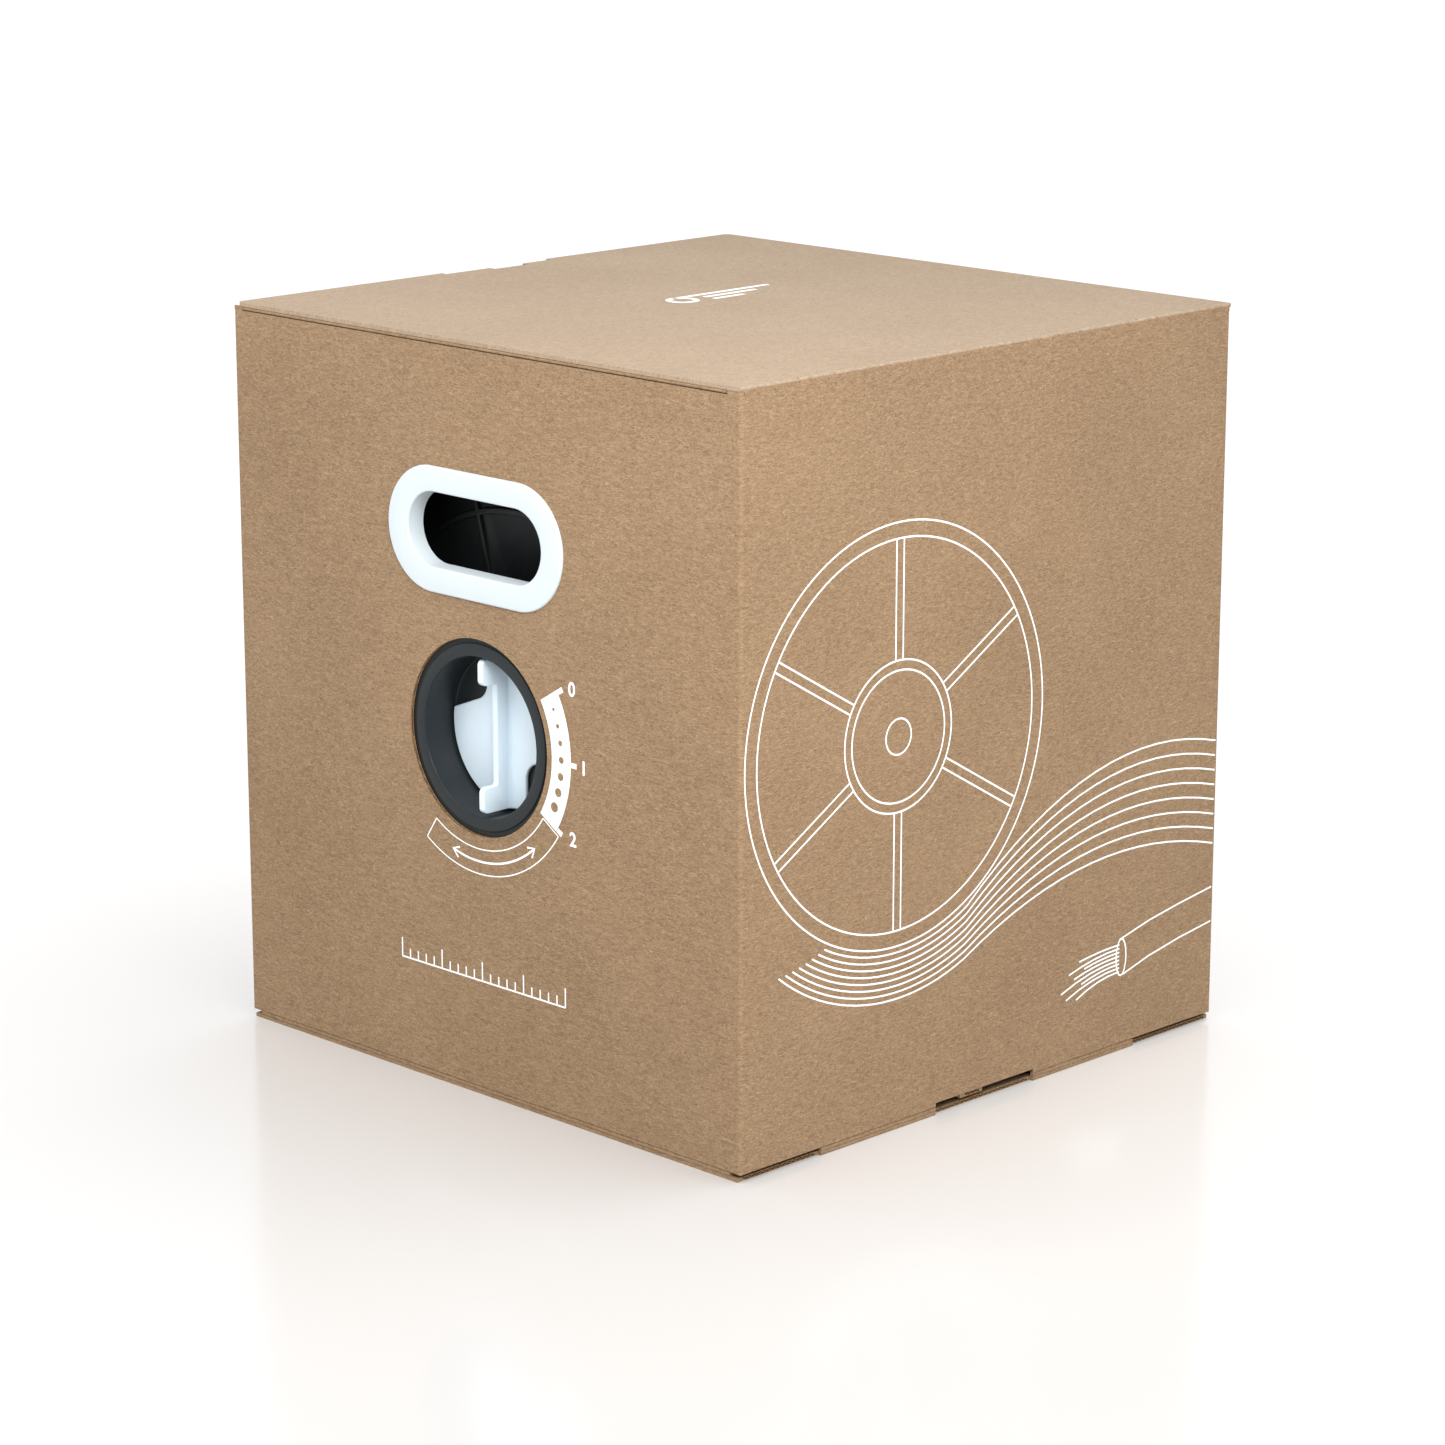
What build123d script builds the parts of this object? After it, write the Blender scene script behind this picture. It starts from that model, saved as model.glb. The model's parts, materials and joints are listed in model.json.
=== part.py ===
from build123d import *
import math
import os

# Pull-box of network cable: a folded corrugated carton that carries a free-turning cable reel
# between two plastic bearing cups. A knob in the front cup sets the drag on the reel.
# Millimetres. +Z is up, the front wall faces -Y, the origin is under the middle of the box.

# ---------------------------------------------------------------- carton
BOX_WIDTH = 367.0
BOX_DEPTH = 357.0
BOX_HEIGHT = 385.0
BOARD = 2.0
CORNER_RADIUS = 2.2
FOLD_GAP = 0.2

# lid, hinged along the top of the right wall
LID_SHORT = 2.7
LID_CORNER_RADIUS = 4.0
THUMB_NOTCH_LENGTH = 76.0
THUMB_NOTCH_DEPTH = 4.0
FINGER_NOTCH_LENGTH = 24.0
FINGER_NOTCH_DEPTH = 8.4
FINGER_NOTCH_Y = 5.0
TUCK_TAB_START = 1.0
TUCK_TAB_END = 29.5
TUCK_TAB_DROP = 40.0
TUCK_TAB_LEAN = 5.0
TUCK_TAB_TAPER = 12.0

# dust flaps under the lid and over the bottom panel
FLAP_REACH = 110.0
FLAP_END_CLEARANCE = 7.5
FLAP_MITRE = 46.5
FLAP_TAPER = 4.0

# crash-lock bottom
BOTTOM_CORNER_INSET = 2.5
WEB_SPANS = ((-122.6, -39.8), (34.4, 113.7))
LOCK_WINDOW = (-39.8, 34.4)
LOCK_WINDOW_GAP = 0.5
LOCK_TONGUE = (-20.5, -3.9)
INNER_PANEL_REACH = 240.0
GLUE_TAB_WIDTH = 35.0

# ---------------------------------------------------------------- hand holes
HAND_HOLE_DROP = 97.0
HAND_OPENING = (97.0, 38.0)
BEZEL_LIP = (15.0, 13.0)
BEZEL_PROUD = 1.3
BEZEL_WALL = 2.1
BEZEL_DEPTH = 9.0
BEZEL_FIT = 0.2
BACKING_RING_LIP = (11.0, 9.5)
BACKING_RING_THICKNESS = 1.5

# ---------------------------------------------------------------- bearings
AXLE_DROP = 198.5
CUP_RADIUS = 47.8
CUP_WALL = 6.8
CUP_HOLE_GAP = 2.7
CUP_FACE_INSET = 1.3
CUP_FLANGE_LIP = 8.2
CUP_FLANGE_THICKNESS = 3.0
CUP_FLOOR_THICKNESS = 3.0
CUP_KEY_WIDTH = 5.0
CUP_KEY_HEIGHT = 2.0
KEY_ANGLES = (90, 210, 330)
PAD_SIDE_LIP = 39.0
PAD_LOW_LIP = 34.0
PAD_RING_GAP = 3.5
PAD_THICKNESS = 4.0
PAD_FIT = 0.2
RUNNING_FIT = 0.1

# ---------------------------------------------------------------- tension knob and brake
KNOB_GAP = 1.5
KNOB_INSET = 19.0
KNOB_THICKNESS = 2.0
KNOB_FLOOR_GAP = 0.5
KNOB_NOTCH_X = 14.0
KNOB_NOTCH_Z = 16.0
KNOB_NOTCH_SLOPE = 21.5
KNOB_NOTCH_RADIUS = 10.0
GRIP_THICKNESS = 3.7
GRIP_INSET = 2.0
GRIP_TAB_LENGTH = 13.3
GRIP_SADDLE_HEIGHT = 7.4
GRIP_CORNER_RADIUS = 3.0
KNOB_BOSS_RADIUS = 7.9
KNOB_BOSS_REACH = 2.5
CLIP_GROOVE_RADIUS = 6.9
CLIP_RADIUS = 11.0
CLIP_THICKNESS = 1.0
CLIP_GAP = 0.3
STUD_RADIUS = 6.0
STUD_SPIGOT_RADIUS = 4.0
STUD_REACH = 1.5
PLATE_GAP = 0.3
PLATE_THICKNESS = 3.0
KEY_FIT = 0.3
FELT_BORE_RADIUS = 20.0
FELT_MARGIN = 2.7
FELT_THICKNESS = 2.0
FELT_GAP = 1.0
SPRING_ROOM = 7.5
SPRING_RADIUS = 14.0
SPRING_WIRE_RADIUS = 0.8
SPRING_TURNS = 2.5

# ---------------------------------------------------------------- reel
THRUST_GAP = 0.3
HUB_WALL = 4.1
HUB_WEB_THICKNESS = 3.0
HUB_COLLAR = 4.0
HUB_COLLAR_THICKNESS = 2.0
FLANGE_INSET = 30.0
REEL_GAP = 12.5
FLANGE_THICKNESS = 3.0
RIM_WIDTH = 3.0
RIM_HEIGHT = 5.0
RIB_COUNT = 12
RIB_THICKNESS = 2.0
RIB_HEIGHT = 3.0
CORE_STEP = 13.0
CORE_WALL = 3.0
SPIGOT_WALL = 3.0
SPIGOT_LENGTH = 12.0
TIE_ROD_COUNT = 4
TIE_ROD_STEP = 8.0
TIE_ROD_RADIUS = 3.0
TIE_HEAD_RADIUS = 5.5
TIE_HEAD_HEIGHT = 3.0
CABLE_MARGIN = 28.0
END_CLIP_WIDTH = 12.0
END_CLIP_LENGTH = 14.0
END_CLIP_WALL = 1.5

# ---------------------------------------------------------------- cable outlet
OUTLET_DROP = 85.0
OUTLET_BORE_RADIUS = 10.0
OUTLET_TUBE_RADIUS = 14.0
OUTLET_FLANGE_RADIUS = 20.0
OUTLET_PROUD = 1.2
OUTLET_LENGTH = 12.0
OUTLET_NUT_THICKNESS = 4.0
OUTLET_FIT = 0.1

HALF_WIDTH = BOX_WIDTH / 2
HALF_DEPTH = BOX_DEPTH / 2
WALL_TOP = BOX_HEIGHT - 2 * BOARD - FOLD_GAP
WALL_BOTTOM = 2 * BOARD
LID_HINGE_X = HALF_WIDTH - BOARD / 2
LID_HINGE_Z = BOX_HEIGHT - BOARD / 2
FLAP_HINGE_Y = HALF_DEPTH - BOARD / 2
FLAP_HINGE_Z = BOX_HEIGHT - 1.5 * BOARD
LOCK_WINDOW_HEIGHT = 3 * BOARD + LOCK_WINDOW_GAP
HAND_HOLE_Z = BOX_HEIGHT - HAND_HOLE_DROP
AXLE_Z = BOX_HEIGHT - AXLE_DROP
OUTLET_Z = BOX_HEIGHT - OUTLET_DROP
CUP_BORE_RADIUS = CUP_RADIUS - CUP_WALL
CUP_HOLE_RADIUS = CUP_RADIUS + CUP_HOLE_GAP
CUP_FLANGE_HALF = CUP_RADIUS + CUP_FLANGE_LIP
KNOB_RADIUS = CUP_BORE_RADIUS - KNOB_GAP
CUP_FLOOR_INSET = KNOB_INSET + KNOB_THICKNESS + KNOB_FLOOR_GAP
CUP_FLOOR_BACK = CUP_FLOOR_INSET + CUP_FLOOR_THICKNESS
KNOB_BOSS_END = CUP_FLOOR_BACK + KNOB_BOSS_REACH
CLIP_FRONT = CUP_FLOOR_BACK + CLIP_GAP
PLATE_RADIUS = CUP_BORE_RADIUS - PLATE_GAP
PLATE_FRONT = CUP_FLOOR_BACK + SPRING_ROOM
PLATE_BACK = PLATE_FRONT + PLATE_THICKNESS
CUP_LENGTH = PLATE_BACK + FELT_GAP
STUD_END = PLATE_BACK + STUD_REACH
WEB_FRONT = PLATE_BACK + FELT_THICKNESS + FELT_GAP
HUB_BORE_RADIUS = CUP_RADIUS + RUNNING_FIT
HUB_RADIUS = HUB_BORE_RADIUS + HUB_WALL
HUB_START = BOARD + CUP_FLANGE_THICKNESS + THRUST_GAP
HUB_END = WEB_FRONT + HUB_WEB_THICKNESS
CORE_START = FLANGE_INSET + FLANGE_THICKNESS
TIE_ROD_CIRCLE = HUB_RADIUS + TIE_ROD_STEP
CORE_RADIUS = TIE_ROD_CIRCLE + CORE_STEP
FLANGE_RADIUS = min(AXLE_Z - 3 * BOARD, HALF_WIDTH - BOARD, WALL_TOP - AXLE_Z) - REEL_GAP
WOUND_RADIUS = FLANGE_RADIUS - CABLE_MARGIN
MID_RING_RADIUS = (HUB_RADIUS + FLANGE_RADIUS) / 2


# ---------------------------------------------------------------- helpers
def block(x0, x1, y0, y1, z0, z1):
    """A rectangular block between two corners."""
    return Pos(x0, y0, z0) * Box(x1 - x0, y1 - y0, z1 - z0, align=(Align.MIN, Align.MIN, Align.MIN))


def disc(radius, near, far, bore=0.0):
    """A round disc or ring on the reel's axle, from depth near to depth far behind the front wall."""
    plane = Plane((0, near - HALF_DEPTH, AXLE_Z), x_dir=(1, 0, 0), z_dir=(0, 1, 0))
    face = Circle(radius)
    if bore:
        face -= Circle(bore)
    return extrude(plane * face, far - near)


def plate(sketch, x, z, near, far):
    """A sketch drawn as seen from the front, centred on (x, z), filled from depth near to depth far."""
    plane = Plane((x, near - HALF_DEPTH, z), x_dir=(1, 0, 0), z_dir=(0, -1, 0))
    return extrude(plane * sketch, near - far)


def to_rear(shape):
    """The same piece on the rear wall: half a turn about the box's upright axis."""
    return shape.rotate(Axis.Z, 180)


def mirrored_rear(shape):
    """The same piece on the other side of the box's middle plane."""
    return shape.mirror(Plane.XZ)


def stadium(size):
    """A slot shape with round ends, given its overall length and height."""
    return SlotOverall(size[0], size[1])


def grown(size, lip):
    """An overall length and height with a lip added all round, one number or one for each way."""
    along, across = lip if isinstance(lip, tuple) else (lip, lip)
    return (size[0] + 2 * along, size[1] + 2 * across)


def save(shape, name):
    shape.label = name
    export_step(shape, f"parts/{name}.step")


# ---------------------------------------------------------------- carton walls
def wall_tube():
    """All four walls as one folded tube of board, before it is cut at the corners."""
    outer = RectangleRounded(BOX_WIDTH, BOX_DEPTH, CORNER_RADIUS)
    inner = Rectangle(BOX_WIDTH - 2 * BOARD, BOX_DEPTH - 2 * BOARD)
    return Pos(0, 0, WALL_BOTTOM) * extrude(outer - inner, WALL_TOP - WALL_BOTTOM)


def corner_sector(along_y):
    """The part of the plan that one wall takes, cut at 45 degrees in its corners."""
    reach = 40.0
    x = HALF_WIDTH
    y = HALF_DEPTH
    if along_y:
        points = [(x, -y), (x, y), (x - reach, y - reach), (x - reach, reach - y)]
    else:
        points = [(x, -y), (x - reach, reach - y), (reach - x, reach - y), (-x, -y)]
    return extrude(Polygon(*points, align=None), BOX_HEIGHT)


def end_wall():
    """The front wall, with its hand hole and its round hole for the bearing cup."""
    wall = wall_tube() & corner_sector(False)
    hand = stadium(grown(HAND_OPENING, BEZEL_WALL + BEZEL_FIT))
    wall -= plate(hand, 0, HAND_HOLE_Z, 0, BOARD)
    return wall - disc(CUP_HOLE_RADIUS, 0, BOARD)


def right_wall():
    """The hinge wall. It stands a little higher, and its bottom edge is slit for the lock."""
    wall = wall_tube() & corner_sector(True)
    inner = HALF_WIDTH - BOARD
    top = block(inner, HALF_WIDTH, CORNER_RADIUS - HALF_DEPTH, HALF_DEPTH - CORNER_RADIUS,
                WALL_TOP, BOX_HEIGHT - BOARD - FOLD_GAP)
    window = block(inner, HALF_WIDTH, LOCK_WINDOW[0], LOCK_WINDOW[1], 0, LOCK_WINDOW_HEIGHT)
    return wall + top - window


def left_wall():
    """The wall that the lid tucks into, with the hole for the cable outlet."""
    wall = (wall_tube() & corner_sector(True)).mirror(Plane.YZ)
    drill = Cylinder(OUTLET_TUBE_RADIUS + OUTLET_FIT, 6 * BOARD)
    return wall - Pos(-HALF_WIDTH, 0, OUTLET_Z) * Rot(0, 90, 0) * drill


def glue_tab():
    """The carton's own glued seam, folded inside the rear wall."""
    inner_x = HALF_WIDTH - BOARD
    inner_y = HALF_DEPTH - BOARD
    margin = 4 * BOARD
    tab = block(-inner_x, GLUE_TAB_WIDTH - inner_x, inner_y - BOARD, inner_y, margin, BOX_HEIGHT - margin)
    long_edges = tab.edges().filter_by(Axis.Y).sort_by(Axis.X)[-2:]
    return chamfer(long_edges, 3 * BOARD)


# ---------------------------------------------------------------- carton flaps, lid and bottom
def lid():
    """The lid: a hinged panel with a thumb notch and two tuck tabs behind the left wall."""
    radius = BOARD / 2
    half = HALF_DEPTH
    free_x = LID_SHORT - HALF_WIDTH
    outline = Pos((LID_HINGE_X + free_x) / 2, 0) * Rectangle(LID_HINGE_X - free_x, 2 * half)
    free_corners = outline.vertices().sort_by(Axis.X)[:2]
    outline = fillet(free_corners, LID_CORNER_RADIUS)
    thumb = Pos(free_x, 0) * Rectangle(2 * THUMB_NOTCH_DEPTH, THUMB_NOTCH_LENGTH)
    finger = Pos(free_x, FINGER_NOTCH_Y) * Rectangle(2 * FINGER_NOTCH_DEPTH, FINGER_NOTCH_LENGTH)
    panel = Pos(0, 0, BOX_HEIGHT - BOARD) * extrude(outline - thumb - finger, BOARD)
    crease = Pos(LID_HINGE_X, 0, LID_HINGE_Z) * Rot(90, 0, 0) * Cylinder(radius, 2 * half)
    shape = panel + crease
    for side in (-1, 1):
        shape += tuck_tab(side, free_x)
    return shape


def tuck_tab(side, free_x):
    """One tab hanging from the lid's free edge, leaning into the box."""
    near = side * (THUMB_NOTCH_LENGTH / 2 + TUCK_TAB_START)
    far = side * (HALF_DEPTH - TUCK_TAB_END)
    low_near = near + side * TUCK_TAB_TAPER / 2
    low_far = far - side * TUCK_TAB_TAPER
    points = [(near, 0), (far, 0), (low_far, -TUCK_TAB_DROP), (low_near, -TUCK_TAB_DROP)]
    outline = Polygon(*points, align=None)
    outline = fillet(outline.vertices().sort_by(Axis.Y)[:2], TUCK_TAB_TAPER / 3)
    tab = extrude(Plane.YZ * outline, BOARD)
    tab = tab.rotate(Axis.Y, -TUCK_TAB_LEAN)
    overlap = BOARD * math.tan(math.radians(TUCK_TAB_LEAN)) + 0.1
    tab = Pos(free_x, 0, BOX_HEIGHT - BOARD + overlap) * tab
    return tab & block(free_x, 0, -HALF_DEPTH, HALF_DEPTH, 0, BOX_HEIGHT)


def dust_flap():
    """The front dust flap, hinged on the front wall's top edge."""
    radius = BOARD / 2
    hinge_y = -FLAP_HINGE_Y
    left = FLAP_END_CLEARANCE - HALF_WIDTH
    right = HALF_WIDTH - FLAP_END_CLEARANCE - BOARD
    reach = FLAP_REACH
    mitre = reach * math.tan(math.radians(FLAP_MITRE))
    points = [(left, 0), (right, 0), (right - mitre, reach), (left + FLAP_TAPER, reach)]
    outline = Polygon(*points, align=None)
    outline = fillet(outline.vertices().sort_by(Axis.Y)[-2:], 5 * BOARD)
    panel = Pos(0, hinge_y, FLAP_HINGE_Z - radius) * extrude(outline, BOARD)
    middle = (left + right) / 2
    crease = Pos(middle, hinge_y, FLAP_HINGE_Z) * Rot(0, 90, 0) * Cylinder(radius, right - left)
    return panel + crease


def bottom_flap():
    """The front bottom flap, folded in over the outer bottom panel."""
    half = HALF_WIDTH - FLAP_END_CLEARANCE
    panel = block(-half, half, -HALF_DEPTH, FLAP_REACH - HALF_DEPTH, BOARD, 2 * BOARD)
    corners = panel.edges().filter_by(Axis.Z).group_by(Axis.Y)[-1]
    return chamfer(corners, 5 * BOARD)


def bottom_outer_panel():
    """The panel that the box stands on, hung from the right wall by two double-creased webs."""
    reach_x = HALF_WIDTH - BOTTOM_CORNER_INSET
    reach_y = HALF_DEPTH - BOARD * 0.15
    panel = block(-reach_x, reach_x, -reach_y, reach_y, 0, BOARD)
    for low, high in WEB_SPANS:
        web = block(HALF_WIDTH - BOARD, HALF_WIDTH, low, high, 0, 2 * BOARD)
        foot = block(reach_x - BOARD, HALF_WIDTH, low, high, 0, BOARD)
        web = web + foot
        outer_edge = web.edges().filter_by(Axis.Y).sort_by(Axis.X)[-2:].sort_by(Axis.Z)[:1]
        panel += fillet(outer_edge, BOARD * 0.4)
    return panel


def bottom_inner_panel():
    """The locking panel from the left wall. Its tongue shows in the right wall's window."""
    inner_x = HALF_WIDTH - BOARD
    inner_y = HALF_DEPTH - BOARD - 1.0
    left = -inner_x
    right = left + INNER_PANEL_REACH
    panel = block(left, right, -inner_y, inner_y, 2 * BOARD, 3 * BOARD)
    corners = panel.edges().filter_by(Axis.Z).sort_by(Axis.X)[-2:]
    panel = chamfer(corners, 10 * BOARD)
    tongue_end = HALF_WIDTH - BOARD / 2
    tongue = block(right - BOARD, tongue_end, LOCK_TONGUE[0], LOCK_TONGUE[1], 2 * BOARD, 3 * BOARD)
    return panel + tongue


# ---------------------------------------------------------------- hand holes
def hand_hole_bezel():
    """The moulded plastic trim around the front hand hole."""
    outer = plate(stadium(grown(HAND_OPENING, BEZEL_LIP)), 0, HAND_HOLE_Z, -BEZEL_PROUD, 0)
    front_edges = outer.faces().sort_by(Axis.Y)[0].edges()
    outer = fillet(front_edges, BEZEL_PROUD * 0.75)
    sleeve = plate(stadium(grown(HAND_OPENING, BEZEL_WALL)), 0, HAND_HOLE_Z, 0, BEZEL_DEPTH)
    opening = plate(stadium(HAND_OPENING), 0, HAND_HOLE_Z, -BEZEL_PROUD, BEZEL_DEPTH)
    shape = outer + sleeve - opening
    mouth = shape.faces().sort_by(Axis.Y)[0].inner_wires()[0].edges()
    return fillet(mouth, BEZEL_PROUD * 0.75)


def bezel_backing_ring():
    """The ring that snaps onto the bezel's sleeve from inside the box."""
    ring = stadium(grown(HAND_OPENING, BACKING_RING_LIP)) - stadium(grown(HAND_OPENING, BEZEL_WALL))
    return plate(ring, 0, HAND_HOLE_Z, BOARD, BOARD + BACKING_RING_THICKNESS)


# ---------------------------------------------------------------- bearings
def bearing_pad():
    """A double layer of board inside the wall. Its square window stops the cup from turning."""
    half = CUP_FLANGE_HALF + PAD_SIDE_LIP
    low = AXLE_Z - CUP_FLANGE_HALF - PAD_LOW_LIP
    high = HAND_HOLE_Z - HAND_OPENING[1] / 2 - BACKING_RING_LIP[1] - PAD_RING_GAP
    near = BOARD - HALF_DEPTH
    pad = block(-half, half, near, near + PAD_THICKNESS, low, high)
    side = 2 * (CUP_FLANGE_HALF + PAD_FIT)
    return pad - plate(Rectangle(side, side), 0, AXLE_Z, BOARD, BOARD + PAD_THICKNESS)


def cup_body():
    """What both bearing cups share: the journal tube, its square flange and its recess."""
    tube = disc(CUP_RADIUS, CUP_FACE_INSET, CUP_LENGTH)
    square = RectangleRounded(2 * CUP_FLANGE_HALF, 2 * CUP_FLANGE_HALF, CUP_FLANGE_THICKNESS)
    flange = plate(square, 0, AXLE_Z, BOARD, BOARD + CUP_FLANGE_THICKNESS)
    shape = tube + flange - disc(CUP_BORE_RADIUS, CUP_FACE_INSET, CUP_FLOOR_INSET)
    shape -= disc(CUP_BORE_RADIUS, CUP_FLOOR_BACK, CUP_LENGTH)
    mouth = shape.faces().sort_by(Axis.Y)[0].edges()
    return chamfer(mouth, 0.6)


def front_bearing_cup():
    """The front cup has a bore for the knob's boss and three keys that guide the pressure plate."""
    shape = cup_body() - disc(KNOB_BOSS_RADIUS + RUNNING_FIT, CUP_FLOOR_INSET, CUP_FLOOR_BACK)
    root = CUP_KEY_HEIGHT / 2
    height = CUP_KEY_HEIGHT + root
    for angle in KEY_ANGLES:
        key = plate(Rectangle(height, CUP_KEY_WIDTH), 0, 0, CUP_FLOOR_BACK - root, CUP_LENGTH)
        key = Pos(CUP_BORE_RADIUS + root - height / 2, 0, 0) * key
        shape += Pos(0, 0, AXLE_Z) * key.rotate(Axis.Y, angle)
    return shape


# ---------------------------------------------------------------- tension knob
def knob_notch():
    """The outline cut away beside the grip, so that fingers reach round it."""
    far = 2 * KNOB_RADIUS
    drop = (far - KNOB_NOTCH_X) * math.tan(math.radians(KNOB_NOTCH_SLOPE))
    points = [(-KNOB_NOTCH_X, KNOB_NOTCH_Z), (-KNOB_NOTCH_X, far), (-far, far), (-far, KNOB_NOTCH_Z - drop)]
    outline = Polygon(*points, align=None)
    inner = outline.vertices().sort_by(Axis.X)[-2:].sort_by(Axis.Y)[:1]
    return fillet(inner, KNOB_NOTCH_RADIUS)


def grip_bar():
    """The upright bar across the knob: a tall tab at each end and a low saddle between them."""
    end = math.sqrt(KNOB_RADIUS ** 2 - (GRIP_THICKNESS / 2) ** 2) - 0.1
    foot = KNOB_THICKNESS / 2
    step = end - GRIP_TAB_LENGTH
    top = KNOB_THICKNESS + KNOB_INSET - GRIP_INSET
    saddle = KNOB_THICKNESS + GRIP_SADDLE_HEIGHT
    points = [(-end, foot), (-end, top), (-step, top), (-step, saddle),
              (step, saddle), (step, top), (end, top), (end, foot)]
    outline = Polygon(*points, align=None)
    outline = fillet(outline.vertices().group_by(Axis.Y)[-1], GRIP_CORNER_RADIUS)
    inner = [v for v in outline.vertices() if abs(v.Y - saddle) < 0.01 and abs(abs(v.X) - step) < 0.01]
    outline = fillet(inner, GRIP_CORNER_RADIUS / 2)
    back = KNOB_INSET + KNOB_THICKNESS - HALF_DEPTH
    plane = Plane((0, back, AXLE_Z), x_dir=(0, 0, 1), z_dir=(1, 0, 0))
    bar = extrude(plane * outline, GRIP_THICKNESS / 2, both=True)
    return bar


def tension_knob():
    """The white knob: a notched disc, the grip bar and a boss through the cup's floor."""
    face = Circle(KNOB_RADIUS) - knob_notch() - knob_notch().rotate(Axis.Z, 180)
    shape = plate(face, 0, AXLE_Z, KNOB_INSET, KNOB_INSET + KNOB_THICKNESS)
    front = shape.faces().sort_by(Axis.Y)[0].edges()
    shape = chamfer(front, 0.5)
    shape += grip_bar()
    shape += disc(KNOB_BOSS_RADIUS, KNOB_INSET + KNOB_THICKNESS, KNOB_BOSS_END)
    shape -= disc(STUD_SPIGOT_RADIUS, CUP_FLOOR_INSET, KNOB_BOSS_END)
    return shape - disc(CLIP_RADIUS, CLIP_FRONT, CLIP_FRONT + CLIP_THICKNESS, CLIP_GROOVE_RADIUS)


def knob_shaft():
    """The threaded stud pressed into the knob's boss. It carries the pressure plate."""
    shape = disc(STUD_SPIGOT_RADIUS, CUP_FLOOR_INSET, KNOB_BOSS_END)
    shape += disc(STUD_RADIUS, KNOB_BOSS_END, STUD_END)
    tip = shape.faces().sort_by(Axis.Y)[-1].edges()
    return chamfer(tip, 0.8)


def knob_clip():
    """The open retaining ring in the boss's groove, behind the cup's floor."""
    ring = disc(CLIP_RADIUS, CLIP_FRONT, CLIP_FRONT + CLIP_THICKNESS, CLIP_GROOVE_RADIUS)
    gap = plate(Rectangle(CLIP_GROOVE_RADIUS, CLIP_RADIUS), 0, AXLE_Z + CLIP_RADIUS, 0, CUP_LENGTH)
    return ring - gap


def pressure_plate():
    """The plate that slides on the cup's keys and carries the felt."""
    shape = disc(PLATE_RADIUS, PLATE_FRONT, PLATE_BACK, STUD_RADIUS + RUNNING_FIT)
    depth = 2 * (CUP_KEY_HEIGHT + KEY_FIT)
    for angle in KEY_ANGLES:
        slot = plate(Rectangle(depth, CUP_KEY_WIDTH + 2 * KEY_FIT), 0, 0, PLATE_FRONT, PLATE_BACK)
        slot = Pos(CUP_BORE_RADIUS, 0, 0) * slot
        shape -= Pos(0, 0, AXLE_Z) * slot.rotate(Axis.Y, angle)
    return shape


def friction_pad():
    """The felt ring glued to the pressure plate."""
    return disc(PLATE_RADIUS - FELT_MARGIN, PLATE_BACK, PLATE_BACK + FELT_THICKNESS, FELT_BORE_RADIUS)


def brake_spring():
    """The coil spring between the cup's floor and the pressure plate."""
    start = CUP_FLOOR_BACK + SPRING_WIRE_RADIUS
    height = PLATE_FRONT - SPRING_WIRE_RADIUS - start
    path = Helix(pitch=height / SPRING_TURNS, height=height, radius=SPRING_RADIUS)
    section = Plane(path @ 0, z_dir=path % 0) * Circle(SPRING_WIRE_RADIUS)
    coil = sweep(section, path, is_frenet=True)
    return Pos(0, start - HALF_DEPTH, AXLE_Z) * coil.rotate(Axis.X, -90)


# ---------------------------------------------------------------- reel
def reel_flange():
    """The front reel flange: a ribbed disc with a rim and a spigot for the core."""
    rim_front = FLANGE_INSET - (RIM_HEIGHT - FLANGE_THICKNESS) / 2
    rib_back = FLANGE_INSET - HALF_DEPTH
    rib_front = rib_back - RIB_HEIGHT
    shape = disc(FLANGE_RADIUS, FLANGE_INSET, CORE_START, HUB_RADIUS)
    shape += disc(FLANGE_RADIUS, rim_front, rim_front + RIM_HEIGHT, FLANGE_RADIUS - RIM_WIDTH)
    shape += disc(MID_RING_RADIUS + RIM_WIDTH / 2, FLANGE_INSET - RIB_HEIGHT, FLANGE_INSET,
                  MID_RING_RADIUS - RIM_WIDTH / 2)
    for number in range(RIB_COUNT):
        rib = block(HUB_RADIUS + RIB_HEIGHT, FLANGE_RADIUS - RIM_WIDTH, rib_front, rib_back,
                    -RIB_THICKNESS / 2, RIB_THICKNESS / 2)
        turned = rib.rotate(Axis.Y, (number + 0.5) * 360 / RIB_COUNT)
        shape += Pos(0, 0, AXLE_Z) * turned
    spigot = CORE_RADIUS - CORE_WALL
    shape += disc(spigot, CORE_START, CORE_START + SPIGOT_LENGTH, spigot - SPIGOT_WALL)
    for x, z in tie_rod_places():
        hole = Pos(x, 0, z) * disc(TIE_ROD_RADIUS, FLANGE_INSET, CORE_START)
        shape -= hole
    return shape


def reel_hub():
    """The sleeve in the flange that turns on the bearing cup. The felt presses on its web."""
    shape = disc(HUB_RADIUS, HUB_START, HUB_END, HUB_BORE_RADIUS)
    shape += disc(HUB_RADIUS, WEB_FRONT, HUB_END, FELT_BORE_RADIUS / 2)
    collar = HUB_RADIUS + HUB_COLLAR
    return shape + disc(collar, CORE_START, CORE_START + HUB_COLLAR_THICKNESS, HUB_RADIUS)


def tie_rod_places():
    """Where the tie rods stand around the axle."""
    places = []
    for number in range(TIE_ROD_COUNT):
        angle = math.radians(number * 360 / TIE_ROD_COUNT)
        places.append((TIE_ROD_CIRCLE * math.cos(angle), TIE_ROD_CIRCLE * math.sin(angle)))
    return places


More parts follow.
